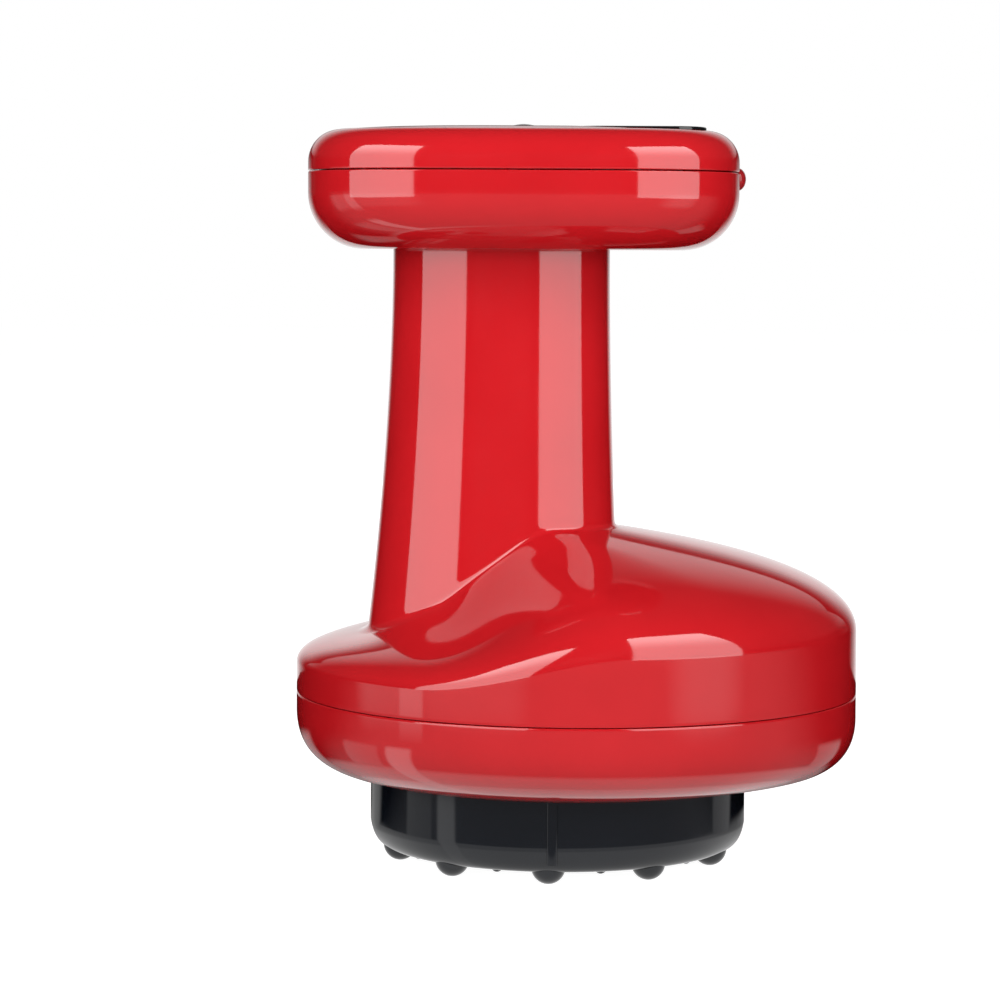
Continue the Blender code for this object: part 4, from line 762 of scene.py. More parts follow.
def gather(name: str, items: Sequence[bpy.types.Object]) -> bpy.types.Object:
    """Puts separate pieces into one object.

    Args:
        name: the new object's name.
        items: the pieces, which are removed.

    Returns:
        The object that holds them all.
    """
    shape = bmesh.new()
    for item in items:
        shape.from_mesh(item.data)
        bpy.data.objects.remove(item)
    return release(name, shape)


def settle(item: bpy.types.Object, sharp: float = math.radians(32)) -> bpy.types.Object:
    """Makes a piece's modifiers final, and smooths it but for the edges sharper than an angle."""
    graph = bpy.context.evaluated_depsgraph_get()
    mesh = bpy.data.meshes.new_from_object(item.evaluated_get(graph), depsgraph=graph)
    item.modifiers.clear()
    item.data = mesh
    mesh.shade_smooth()
    mesh.set_sharp_from_angle(angle=sharp)
    return item


def thicken(item: bpy.types.Object, wall: float) -> bpy.types.Object:
    """Gives a skin its moulded wall, inwards."""
    made = item.modifiers.new("wall", "SOLIDIFY")
    made.thickness = wall
    made.offset = -1.0
    made.use_even_offset = True
    made.use_quality_normals = True
    return item


def soften(item: bpy.types.Object, radius: float, steps: int = 3,
           from_degrees: float = 50.0) -> bpy.types.Object:
    """Rounds the sharp edges of a piece.

    Args:
        item: the piece.
        radius: radius of the rounding.
        steps: faces across it.
        from_degrees: the bluntest edge that is rounded.

    Returns:
        The piece.
    """
    made = item.modifiers.new("rounding", "BEVEL")
    made.width = radius
    made.segments = steps
    made.limit_method = "ANGLE"
    made.angle_limit = math.radians(from_degrees)
    made.miter_outer = "MITER_ARC"
    made.harden_normals = False
    return item


def moulded(name: str, profile: Callable[[float], list[Vector]], sides: int, wall: float,
            edge_round: float) -> bpy.types.Object:
    """A moulding whose outer skin is known in every direction.

    Args:
        name: the object's name.
        profile: gives the skin's points in one direction, from the foot up.
        sides: how many directions there are.
        wall: thickness of the moulding.
        edge_round: rounding of its sharp edges.

    Returns:
        The closed moulding.
    """
    skin = loft(name, [profile(angle) for angle in circle(sides)])
    return settle(soften(thicken(skin, wall), edge_round))


def combine(item: bpy.types.Object, tools: Iterable[bpy.types.Object],
            operation: str = "DIFFERENCE") -> bpy.types.Object:
    """Cuts tools from a piece or joins them to it, and removes the tools.

    Args:
        item: the piece.
        tools: closed shapes.
        operation: DIFFERENCE or UNION.

    Returns:
        The piece, settled.
    """
    kept = list(tools)
    for tool in kept:
        made = item.modifiers.new(tool.name, "BOOLEAN")
        made.operation = operation
        made.object = tool
        made.solver = "EXACT"
    settle(item)
    for tool in kept:
        bpy.data.objects.remove(tool)
    return item


@dataclass
class Dresser:
    """Gives pieces their finish and their place in the moving frame.

    Args:
        paints: the finishes.
        nodes: the solids by name.
    """

    paints: Paintbox
    nodes: dict[str, bpy.types.Object]

    def dress(self, item: bpy.types.Object, finish: Finish, slot: Slot, body: Body,
              *stands_for: str) -> None:
        """Finishes a remade piece.

        Args:
            item: the piece.
            finish: what it is made of.
            slot: the record's slot of that material; not used.
            body: the body that it moves with.
            stands_for: the solids that it is shown in place of.
        """
        item.data.materials.clear()
        item.data.materials.append(self.paints.get(finish))
        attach(item, body.value)
        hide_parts(*stands_for)
        LOG.info("piece %s: %d faces, %s", item.name, len(item.data.polygons), finish.name)

    def repaint(self, finish: Finish, *names: str) -> None:
        """Gives solids that stay shown a finish.

        Args:
            finish: what they are made of.
            names: the solids' names.
        """
        for name in names:
            solid = self.nodes[name]
            for place in solid.material_slots:
                place.material = self.paints.get(finish)
            LOG.info("solid %s: %s", name, finish.name)


# Case


@dataclass(frozen=True)
class CaseCurves:
    """Outer curves of the red case. Sizes are those of the solids, in metres.

    The base top climbs to the right between ramp_start and ramp_end. Names with left hold at its left end,
    with low in front and behind on the low side, and with high on the right. A reach says how far a control
    point lies from the end of its curve, and a lift how high, both as shares. Flares widen the handle towards
    its foot, and the foot climbs round it from foot_low to foot_high. The steps count points along each part.
    """

    base_radius: float = 0.0517
    seam: float = 0.0309
    seam_gap: float = 0.0002
    wall_foot_left: float = 0.0274
    wall_foot_right: float = 0.0263
    wall_curl: float = 0.0092
    low_shoulder: float = 0.0362
    high_shoulder: float = 0.0424
    ramp_start: float = -0.0300
    ramp_end: float = 0.0100
    left_round: float = 0.0042
    low_round: float = 0.0070
    high_round: float = 0.0102
    low_reach: float = 0.12
    high_reach: float = 0.5
    left_lift: float = 0.3
    low_lift: float = -0.2
    high_lift: float = 0.6
    opening_centre: float = -0.0033
    opening_radius: float = 0.0354
    opening_edge: float = 0.0161
    opening_drop: float = 0.0015
    opening_sharpness: float = 8.0
    neck_top: float = 0.0208
    left_reach: float = 0.43
    right_reach: float = 0.58
    handle_centre: float = -0.01415
    handle_half_width: float = 0.01995
    handle_half_depth: float = 0.0136
    handle_squareness: float = 2.3
    left_flare: float = 0.0045
    right_flare: float = 0.0022
    depth_flare: float = 0.0024
    flare_power: float = 1.8
    foot_low: float = 0.0420
    foot_high: float = 0.0612
    foot_ramp_end: float = -0.0105
    foot_pace: float = 0.88
    foot_power: float = 1.3
    foot_blend: float = 0.15
    fillet: float = 0.0011
    handle_top: float = 0.1121
    support: float = 0.0005
    foot_tries: int = 8
    wall_steps: int = 4
    fillet_steps: int = 6
    dome_steps: int = 44
    handle_steps: int = 26
    handle_spacing: float = 1.3
    underside_steps: int = 40

    def handle_point(self, angle: float, height: float) -> Vector:
        """A point of the handle's skin, which flares towards its foot.

        Args:
            angle: the direction from the handle's axis.
            height: the point's height.

        Returns:
            The point.
        """
        drop = (self.handle_top - height) / (self.handle_top - self.foot_low)
        flare = max(drop, 0.0) ** self.flare_power
        left = self.handle_centre - self.handle_half_width - self.left_flare * flare
        right = self.handle_centre + self.handle_half_width + self.right_flare * flare
        half_depth = self.handle_half_depth + self.depth_flare * flare
        reach = polar_reach(angle, (right - left) / 2, half_depth, self.handle_squareness)
        return Vector(((left + right) / 2 + reach * math.cos(angle), reach * math.sin(angle), height))

    def foot_point(self, angle: float) -> Vector:
        """Returns where the handle meets the base: low on the left, high on the right."""
        start = self.handle_centre - self.handle_half_width - self.left_flare
        point = self.handle_point(angle, self.foot_high)
        for _ in range(self.foot_tries):
            share = max((point.x - start) / (self.foot_ramp_end - start), 0.0)
            climb = smooth_minimum(share**self.foot_power * self.foot_pace, 1.0, self.foot_blend)
            point = self.handle_point(angle, mix(self.foot_low, self.foot_high, climb))
        return point

    def dome_curve(self, angle: float) -> list[Vector]:
        """Returns the four control points of the base top, from the side wall to the handle."""
        foot = self.foot_point(angle)
        rim = Vector((self.base_radius * math.cos(angle), self.base_radius * math.sin(angle), 0.0))
        ramp = smooth_step(rim.x, self.ramp_start, self.ramp_end)
        rim.z = mix(self.low_shoulder, self.high_shoulder, ramp)
        front = math.sin(angle) ** 2
        rounding = mix(mix(self.left_round, self.low_round, front), self.high_round, ramp)
        shoulder = rim + Vector((0.0, 0.0, rounding))
        last = foot + (shoulder - foot) * mix(self.low_reach, self.high_reach, ramp)
        lift = mix(mix(self.left_lift, self.low_lift, front), self.high_lift, ramp)
        last.z = mix(shoulder.z, foot.z, lift)
        return [rim, shoulder, last, foot]

    def body_profile(self, angle: float) -> list[Vector]:
        """Returns the points of the upper case in one direction, from the seam to the head."""
        controls = self.dome_curve(angle)
        rim, _, last, foot = controls
        seam = Vector((rim.x, rim.y, self.seam + self.seam_gap / 2))
        edge = seam + Vector((0.0, 0.0, self.support))
        points = [seam, *(edge.lerp(rim, step / self.wall_steps) for step in range(self.wall_steps))]
        end = 1.0 - self.fillet / (3.0 * (foot - last).length)
        points += [bezier(controls, end * step / self.dome_steps) for step in range(self.dome_steps + 1)]
        above = self.handle_point(angle, foot.z + self.fillet)
        edge = points[-1]
        for step in range(1, self.fillet_steps + 1):
            share = step / self.fillet_steps
            points.append(edge.lerp(foot, share).lerp(foot.lerp(above, share), share))
        for step in range(1, self.handle_steps + 1):
            share = (step / self.handle_steps) ** self.handle_spacing
            points.append(self.handle_point(angle, mix(above.z, self.handle_top - self.support, share)))
        points.append(self.handle_point(angle, self.handle_top))
        return points

    def lower_profile(self, angle: float) -> list[Vector]:
        """Returns the points of the lower case in one direction, from the neck round the cup to the seam."""
        x, y = on_circle(self.opening_centre, self.opening_radius, angle)
        dip = max(math.cos(angle), 0.0) ** self.opening_sharpness
        edge = Vector((x, y, self.opening_edge - self.opening_drop * dip))
        right = (1.0 + math.cos(angle)) / 2
        foot = mix(self.wall_foot_left, self.wall_foot_right, right)
        rim = Vector((self.base_radius * math.cos(angle), self.base_radius * math.sin(angle), foot))
        run = Vector((rim.x - edge.x, rim.y - edge.y, 0.0)) * mix(self.left_reach, self.right_reach, right)
        controls = [edge, edge + run, rim - Vector((0.0, 0.0, self.wall_curl)), rim]
        points = [Vector((x, y, self.neck_top)), edge + Vector((0.0, 0.0, self.support)), edge]
        start = self.support / (3.0 * run.length)
        steps = self.underside_steps
        points += [bezier(controls, mix(start, 1.0, step / steps)) for step in range(steps + 1)]
        seam = Vector((rim.x, rim.y, self.seam - self.seam_gap / 2))
        points += [seam - Vector((0.0, 0.0, self.support)), seam]
        return points


@dataclass
class BaseCase:
    """The red round base with the handle, in its two mouldings.

    Args:
        curves: the outer curves.
        wall: thickness of the mouldings.
        sides: faces round the case.
        edge_round: rounding at the seam and the opening.
    """

    curves: CaseCurves = field(default_factory=CaseCurves)
    wall: float = 0.0022
    sides: int = 192
    edge_round: float = 0.00022

    def build(self, dresser: Dresser) -> None:
        """Builds and dresses the base top with the handle, and the moulding under the base seam."""
        sizes = (self.sides, self.wall, self.edge_round)
        upper = moulded("case_body", self.curves.body_profile, *sizes)
        dresser.dress(upper, Finish.CASE, Slot.CASE, Body.CASE, "body_shell")
        lower = moulded("case_underside", self.curves.lower_profile, *sizes)
        dresser.dress(lower, Finish.CASE, Slot.CASE, Body.CASE, "base_lower_shell")


@dataclass
class Head:
    """The cross-bar head: a lower moulding and a cover that meet at its seam.

    Args:
        centre: X of its middle.
        half_width: half of its length along X.
        half_depth: half of its depth.
        squareness: how square its plan is.
        floor: height of its underside.
        seam: height of the seam.
        top: height of its top.
        crown: how far the middle of the cover stands above its edge.
        crown_power: how late the cover falls off towards its edge.
        lower_round: radius of the round edge below.
        upper_round: width of the round edge above.
        upper_drop: its height.
        wall: thickness of the mouldings.
        seam_gap: gap between them.
        way_half_width: half of the cable hole's width.
        way_half_depth: half of its depth.
        way_centre: X of its middle.
        button_hole: radius of the hole for the button.
        sides: faces round the head.
        round_steps: faces across a round edge.
        edge_round: rounding of the sharp edges.
        support: distance of the points that hold an edge in shape.
        floor_loops: places of the extra points across the underside, from the cable hole out.
        cover_loops: places of the extra points across the cover, as shares of its reach.
        light_radius: radius of the indicator's hole.
        light_height: height of its axis.
        inlet_width: width of the charging hole.
        inlet_height: its height.
        inlet_middle: height of its middle.
        inlet_roundness: how round its ends are, 1 for half circles.
        inlet_steps: faces round each of its corners.
        pocket_gap: gap round the panel.
    """

    centre: float = -0.0102
    half_width: float = 0.03935
    half_depth: float = 0.0290
    squareness: float = 3.4
    floor: float = 0.1121
    seam: float = 0.1262
    top: float = 0.1346
    crown: float = 0.0009
    crown_power: int = 3
    lower_round: float = 0.0102
    upper_round: float = 0.0056
    upper_drop: float = 0.0058
    wall: float = 0.0020
    seam_gap: float = 0.0002
    way_half_width: float = 0.0130
    way_half_depth: float = 0.0080
    way_centre: float = -0.01415
    button_hole: float = 0.0043
    sides: int = 224
    round_steps: int = 16
    edge_round: float = 0.00018
    support: float = 0.0004
    floor_loops: tuple[float, ...] = (0.06, 0.3, 0.65)
    cover_loops: tuple[float, ...] = (0.92, 0.84, 0.76, 0.66, 0.56, 0.46, 0.36, 0.26)
    light_radius: float = 0.0020
    light_height: float = 0.1252
    inlet_width: float = 0.0095
    inlet_height: float = 0.0038
    inlet_middle: float = 0.1223
    inlet_roundness: float = 0.96
    inlet_steps: int = 8
    pocket_gap: float = 0.00025

    def section(self, angle: float, inset: float, height: float) -> Vector:
        """Returns the point in one direction on the head's plan, drawn in by inset."""
        reach = polar_reach(angle, self.half_width - inset, self.half_depth - inset, self.squareness)
        return Vector((*on_circle(self.centre, reach, angle), height))

    def lower_profile(self, angle: float) -> list[Vector]:
        """Returns the points of the lower moulding in one direction, from the cable hole to the seam."""
        reach = polar_reach(angle, self.way_half_width, self.way_half_depth, ELLIPSE)
        way = Vector((*on_circle(self.way_centre, reach, angle), self.floor))
        first = self.section(angle, self.lower_round, self.floor)
        points = [way, *(way.lerp(first, share) for share in self.floor_loops)]
        for sine, cosine in quarter(self.round_steps):
            inset = self.lower_round * (1.0 - sine)
            points.append(self.section(angle, inset, self.floor + self.lower_round * (1.0 - cosine)))
        seam = self.seam - self.seam_gap / 2
        points += [self.section(angle, 0.0, height) for height in (seam - self.support, seam)]
        return points

    def upper_profile(self, angle: float) -> list[Vector]:
        """Returns the points of the cover in one direction, from the seam to the button hole."""
        seam = self.seam + self.seam_gap / 2
        points = [self.section(angle, 0.0, height) for height in (seam, seam + self.support)]
        edge = self.top - self.crown
        for sine, cosine in quarter(self.round_steps):
            inset = self.upper_round * (1.0 - cosine)
            points.append(self.section(angle, inset, edge - self.upper_drop * (1.0 - sine)))
        for share in self.cover_loops:
            width = (self.half_width - self.upper_round) * share
            depth = (self.half_depth - self.upper_round) * share
            reach = polar_reach(angle, width, depth, self.squareness)
            height = self.top - self.crown * share**self.crown_power
            points.append(Vector((*on_circle(self.centre, reach, angle), height)))
        for radius in (self.button_hole + self.support, self.button_hole):
            points.append(Vector((*on_circle(self.centre, radius, angle), self.top)))
        return points

    def indicator_hole(self) -> bpy.types.Object:
        """Returns the cutter of the indicator's hole in the right end."""
        end = self.centre + self.half_width
        inside = Vector((end - self.wall * 2, 0.0, self.light_height))
        outside = Vector((end + self.wall, 0.0, self.light_height))
        return rod("indicator_hole", inside, outside, self.light_radius)

    def socket_hole(self) -> bpy.types.Object:
        """Returns the cutter of the charging hole in the back."""
        corner = self.inlet_height / 2 * self.inlet_roundness
        outline = rounded_corners(self.inlet_width, self.inlet_height, corner, self.inlet_steps)
        cutter = stack("socket_hole", [(outline, 0.0), (outline, self.wall * 3)])
        place = Matrix.Translation((self.centre, self.half_depth + self.wall, self.inlet_middle))
        cutter.data.transform(place @ Matrix.Rotation(math.pi / 2, 4, "X"))
        return cutter

    def pocket(self, panel: Panel) -> bpy.types.Object:
        """Returns the cutter of the pocket that the panel lies in."""
        gap = self.pocket_gap
        width, depth = panel.width + gap * 2, panel.depth + gap * 2
        outline = rounded_corners(width, depth, panel.corner + gap, panel.sides)
        foot = panel.top - panel.thickness - gap
        return stack("panel_pocket", [(outline, foot), (outline, self.top + self.wall)], (panel.centre, 0.0))

    def build(self, dresser: Dresser, panel: Panel) -> None:
        """Builds and dresses both mouldings of the head.

        Args:
            dresser: what gives them their finish.
            panel: the panel that the cover is cut for.
        """
        sizes = (self.sides, self.wall, self.edge_round)
        lower = moulded("head_underside", self.lower_profile, *sizes)
        combine(lower, [self.indicator_hole(), self.socket_hole()])
        dresser.dress(lower, Finish.CASE, Slot.CASE, Body.CASE, "head_lower_shell")
        cover = moulded("head_cover", self.upper_profile, *sizes)
        combine(cover, [self.indicator_hole(), self.pocket(panel)])
        dresser.dress(cover, Finish.CASE, Slot.CASE, Body.CASE, "head_top_cover")


@dataclass
class Panel:
    """The glossy black panel let into the head's top.

    Args:
        centre: X of its middle.
        width: its size along X.
        depth: its size along Y.
        corner: radius of its corners.
        top: height of its face.
        thickness: its thickness.
        edge: width of its rounded rim.
        edge_drop: how deep the rim is against its width.
        edge_steps: faces across the rim.
        sides: faces round each corner.
    """

    centre: float = 0.01045
    width: float = 0.0244
    depth: float = 0.0360
    corner: float = 0.0060
    top: float = 0.1343
    thickness: float = 0.0010
    edge: float = 0.0004
    edge_drop: float = 0.6
    edge_steps: int = 5
    sides: int = 16

    def build(self, dresser: Dresser) -> None:
        """Builds and dresses the panel, with a softly rounded rim."""
        foot = self.top - self.thickness
        layers = [(rounded_corners(self.width, self.depth, self.corner, self.sides), foot)]
        for sine, cosine in quarter(self.edge_steps):
            inset = self.edge * (1.0 - cosine)
            width, depth = self.width - inset * 2, self.depth - inset * 2
            outline = rounded_corners(width, depth, self.corner - inset, self.sides)
            layers.append((outline, self.top - self.edge * self.edge_drop * (1.0 - sine)))
        item = settle(stack("panel_glass", layers, (self.centre, 0.0)))
        dresser.dress(item, Finish.PANEL, Slot.PANEL, Body.CASE, "control_panel_lens")


@dataclass
class PowerButton:
    """The dark domed push button in the middle of the head.

    Args:
        centre: X of its axis.
        radius: radius of its cap.
        crown: radius of the dome on it.
        top: height of its highest point.
        flange: how far its flange stands out below the cover.
        flange_top: height of the flange's upper face.
        flange_foot: height of its lower face.
        edge: rounding of the cap's rim.
        crown_steps: faces across the dome.
        edge_steps: faces across the rim.
        sides: faces round the button.
    """

    centre: float = -0.0102
    radius: float = 0.0040
    crown: float = 0.0070
    top: float = 0.1352
    flange: float = 0.0012
    flange_top: float = 0.1320
    flange_foot: float = 0.1310
    edge: float = 0.00035
    crown_steps: int = 14
    edge_steps: int = 5
    sides: int = 96

    def build(self, dresser: Dresser) -> None:
        """Builds and dresses the button."""
        reach = math.asin((self.radius - self.edge) / self.crown)
        outline: Outline = [(0.0, self.top)]
        for step in range(1, self.crown_steps + 1):
            turn = reach * step / self.crown_steps
            outline.append((self.crown * math.sin(turn), self.top - self.crown * (1.0 - math.cos(turn))))
        rim = outline[-1][1]
        for sine, cosine in quarter(self.edge_steps, 1):
            outline.append((self.radius - self.edge * (1.0 - sine), rim - self.edge * (1.0 - cosine)))
        outline += [
            (self.radius, self.flange_top),
            (self.radius + self.flange, self.flange_top),
            (self.radius + self.flange, self.flange_foot),
            (0.0, self.flange_foot),
        ]
        item = settle(lathe("button_cap", outline, (self.centre, 0.0), self.sides))
        dresser.dress(item, Finish.BUTTON, Slot.BUTTON, Body.BUTTON, "power_button")


@dataclass
class Indicator:
    """The small red dome at the right end of the head.

    Args:
        centre: X of the head's middle.
        face: distance from there to the foot of the dome.
        radius: radius of the dome.
        proud: how far it stands out.
        barrel: radius of the barrel behind it.
        barrel_start: distance from the middle to the barrel's inner end.
        height: height of its axis.
        steps: faces across the dome.
        sides: faces round it.
    """

    centre: float = -0.0102
    face: float = 0.03945
    radius: float = 0.0021
    proud: float = 0.0015
    barrel: float = 0.0017
    barrel_start: float = 0.0313
    height: float = 0.1252
    steps: int = 14
    sides: int = 64

    def build(self, dresser: Dresser) -> None:
        """Builds and dresses the dome with its barrel."""
        outline: Outline = [(0.0, self.face + self.proud)]
        for sine, cosine in quarter(self.steps, 1):
            outline.append((self.radius * sine, self.face + self.proud * cosine))
        outline += [(self.barrel, self.face), (self.barrel, self.barrel_start), (0.0, self.barrel_start)]
        item = lathe("indicator_dome", outline, (0.0, 0.0), self.sides)
        place = Matrix.Translation((self.centre, 0.0, self.height)) @ Matrix.Rotation(math.pi / 2, 4, "Y")
        item.data.transform(place)
        dresser.dress(settle(item), Finish.INDICATOR, Slot.INDICATOR, Body.CASE, "indicator_lens")


# Cup


@dataclass
class MassageRing:
    """The black cup ring with its massage beads and grip ribs.

    Args:
        centre: X of its axis.
        radius: its outer radius.
        inner: radius of its opening.
        socket: radius of the socket for the seal.
        socket_height: height of the socket's floor.
        top: height of its top.
        face: height of the flat face that carries the beads.
        edge: height of the foot of its wall.
        face_inset: how far the face is drawn in from the wall.
        support: distance of the points that hold the wall in shape.
        beads: how many large beads it has, with as many small ones between.
        bead_circle: radius of the circle that the beads lie on.
        bead_radius: radius of a large bead.
        bead_phase: direction of the first one.
        small_radius: radius of a small bead.
        small_proud: how far a small bead stands out, and the bevel round the opening.
        ribs: how many grip ribs it has.
        rib_phase: direction of the first one.
        rib_width: width of a rib.
        rib_proud: how far it stands out.
        rib_foot: height of its foot.
        rib_steps: faces across it.
        corner_steps: faces across the corner below the wall.
        corner_bend: control points of that corner, as shares of its inset and its drop.
        lip_share: where the middle of the bevel round the opening lies.
        edge_round: rounding of the sharp edges.
        sides: faces round the ring.
        bead_sides: faces round a large bead.
        small_sides: faces round a small bead.
    """

    centre: float = -0.0033
    radius: float = 0.03465
    inner: float = 0.0269
    socket: float = 0.0310
    socket_height: float = 0.0109
    top: float = 0.0195
    face: float = 0.0025
    edge: float = 0.0068
    face_inset: float = 0.0026
    support: float = 0.0006
    beads: int = 10
    bead_circle: float = 0.0298
    bead_radius: float = 0.0031
    bead_phase: float = math.radians(-94.0)
    small_radius: float = 0.00115
    small_proud: float = 0.0008
    ribs: int = 3
    rib_phase: float = math.radians(-92.5)
    rib_width: float = 0.0019
    rib_proud: float = 0.00045
    rib_foot: float = 0.0042
    rib_steps: int = 12
    corner_steps: int = 14
    corner_bend: tuple[tuple[float, float], ...] = ((0.0, 1.0), (0.09, 0.60), (0.34, 0.10), (1.0, 0.0))
    lip_share: float = 0.3
    edge_round: float = 0.00018
    sides: int = 240
    bead_sides: int = 40
    small_sides: int = 24

    def outline(self) -> Outline:
        """Returns the ring's section: a wall, a round corner, a flat face, the opening and the socket."""
        drop = self.edge - self.face
        controls = [Vector(point) for point in self.corner_bend]
        corner = []
        for step in range(self.corner_steps + 1):
            point = bezier(controls, step / self.corner_steps)
            corner.append((self.radius - self.face_inset * point.x, self.face + drop * point.y))
        lip = self.small_proud * self.lip_share
        return [
            (self.socket, self.top),
            (self.radius, self.top),
            (self.radius, self.top - self.support),
            (self.radius, self.edge + self.support),
            *corner,
            (self.inner + self.small_proud, self.face),
            (self.inner + lip, self.face + lip),
            (self.inner, self.face + self.small_proud),
            (self.inner, self.socket_height),
            (self.socket, self.socket_height),
        ]

    def ball(self, angle: float, radius: float, height: float, detail: int) -> bpy.types.Object:
        """A bead on the ring's face.

        Args:
            angle: its direction from the axis.
            radius: its radius.
            height: height of its middle.
            detail: faces round it.

        Returns:
            The bead.
        """
        shape = bmesh.new()
        place = Matrix.Translation((*on_circle(self.centre, self.bead_circle, angle), height))
        bmesh.ops.create_uvsphere(shape, u_segments=detail, v_segments=detail // 2, radius=radius,
                                  matrix=place)
        return release("bead", shape)

    def rib(self, angle: float) -> bpy.types.Object:
        """Returns a rounded grip rib on the ring's wall."""
        inset, half = self.face_inset, self.rib_width / 2
        turns = [math.pi * (step / self.rib_steps - 0.5) for step in range(self.rib_steps + 1)]
        arch = [(self.rib_proud * math.cos(turn), half * math.sin(turn)) for turn in turns]
        outline = [(-inset, -half), *arch, (-inset, half)]
        layers = [(outline, self.rib_foot), (outline, self.top - inset)]
        item = stack("rib", layers, (self.radius, 0.0))
        item.data.transform(Matrix.Translation((self.centre, 0.0, 0.0)) @ Matrix.Rotation(angle, 4, "Z"))
        return item

    def build(self, dresser: Dresser) -> None:
        """Builds and dresses the ring."""
        item = lathe("massage_ring", self.outline(), (self.centre, 0.0), self.sides, closed=True)
        settle(soften(item, self.edge_round, steps=2, from_degrees=55.0))
        spacing = math.pi / self.beads
        balls = []
        for angle in circle(self.beads, self.bead_phase):
            balls.append(self.ball(angle, self.bead_radius, self.bead_radius, self.bead_sides))
            small = self.face + self.small_radius - self.small_proud
            balls.append(self.ball(angle + spacing, self.small_radius, small, self.small_sides))
        ribs = [self.rib(angle) for angle in circle(self.ribs, self.rib_phase)]
        combine(item, [gather("beads", balls), gather("ribs", ribs)], "UNION")
        dresser.dress(item, Finish.RING, Slot.RING, Body.RING, "cup_ring")


@dataclass
class CrossScrew:
    """A pan-head screw with a cross recess, seen from under the base.

    Args:
        head: radius of its head.
        head_height: height of its head.
        shaft: radius of its shaft.
        recess_width: width of a bar of the cross.
        recess_length: its length.
        recess_depth: depth of the cross.
        recess_round: rounding of its corners against its width.
        recess_steps: faces round each corner.
        dome_share: height of the head's dome against the head's height.
        dome_steps: faces across the dome.
        sides: faces round the screw.
    """

    head: float = 0.0021
    head_height: float = 0.0016
    shaft: float = 0.0012
    recess_width: float = 0.0006
    recess_length: float = 0.0023
    recess_depth: float = 0.0009
    recess_round: float = 0.3
    recess_steps: int = 2
    dome_share: float = 0.55
    dome_steps: int = 8
    sides: int = 48

    def make(self, name: str, low: Vector, high: Vector) -> bpy.types.Object:
        """A screw that points up, in the box of its solid.

        Args:
            name: the object's name.
            low: lowest corner of the solid's box.
            high: highest corner of it.

        Returns:
            The screw.
        """
        middle = (low + high) / 2
        foot, seat = low.z, low.z + self.head_height
        outline: Outline = [(0.0, foot)]
        for sine, cosine in quarter(self.dome_steps, 1):
            outline.append((self.head * sine, foot + self.head_height * self.dome_share * (1.0 - cosine)))
        outline += [(self.head, seat), (self.shaft, seat), (self.shaft, high.z - self.shaft), (0.0, high.z)]
        item = lathe(name, outline, (middle.x, middle.y), self.sides)
        bars = []
        long, short = self.recess_length, self.recess_width
        for width, depth in ((long, short), (short, long)):
            plan = rounded_corners(width, depth, short * self.recess_round, self.recess_steps)
            layers = [(plan, foot - self.recess_depth), (plan, foot + self.recess_depth)]
            bars.append(stack("recess", layers, (middle.x, middle.y)))
        return combine(item, bars)

    def build(self, dresser: Dresser, count: int = 4) -> None:
        """Builds and dresses the base screws.

        Args:
            dresser: what gives them their finish.
            count: how many there are.
        """
        for number in range(1, count + 1):
            solid = f"base_screw_{number}"
            item = self.make(f"case_screw_{number}", *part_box(solid))
            dresser.dress(item, Finish.SCREW, Slot.STEEL, Body.CASE, solid)


@dataclass
class CoilSpring:
    """The coil spring of the air release valve.

    Args:
        wire: radius of its wire.
        turns: how many turns it has.
        travel: how far the plunger goes; not used.
        turn_steps: faces along each turn.
        wire_sides: faces round the wire.
    """

    wire: float = 0.00028
    turns: int = 5
    travel: float = 0.0012
    turn_steps: int = 36
    wire_sides: int = 10

    def make(self, name: str, low: Vector, high: Vector) -> bpy.types.Object:
        """A coil of one wire that fills the box of its solid.

        Args:
            name: the object's name.
            low: lowest corner of the solid's box.
            high: highest corner of it.

        Returns:
            The spring.
        """
        middle = (low + high) / 2
        radius = (high.x - low.x) / 2 - self.wire
        climb = high.z - low.z - 2 * self.wire
        shape = bmesh.new()
        rings = []
        upward = Vector((0.0, 0.0, 1.0))
        steps = self.turns * self.turn_steps
        for step in range(steps + 1):
            turn = math.tau * step / self.turn_steps
            out = Vector((math.cos(turn), math.sin(turn), 0.0))
            centre = Vector((middle.x, middle.y, low.z + self.wire + climb * step / steps)) + out * radius
            ring = []
            for angle in circle(self.wire_sides):
                offset = out * math.cos(angle) + upward * math.sin(angle)
                ring.append(shape.verts.new(centre + offset * self.wire))
            rings.append(ring)
        for first, second in zip(rings, rings[1:]):
            for place in range(self.wire_sides):
                following = (place + 1) % self.wire_sides
                shape.faces.new((first[place], first[following], second[following], second[place]))
        for end in (rings[0], rings[-1]):
            shape.faces.new(end)
        bmesh.ops.recalc_face_normals(shape, faces=shape.faces)
        for face in shape.faces:
            face.smooth = len(face.verts) == 4
        return release(name, shape)

    def build(self, dresser: Dresser) -> None:
        """Builds and dresses the spring."""
        low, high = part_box("valve_spring")
        item = self.make("release_spring", low, high)
        dresser.dress(item, Finish.STEEL, Slot.STEEL, Body.CASE, "valve_spring")
        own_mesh(item)


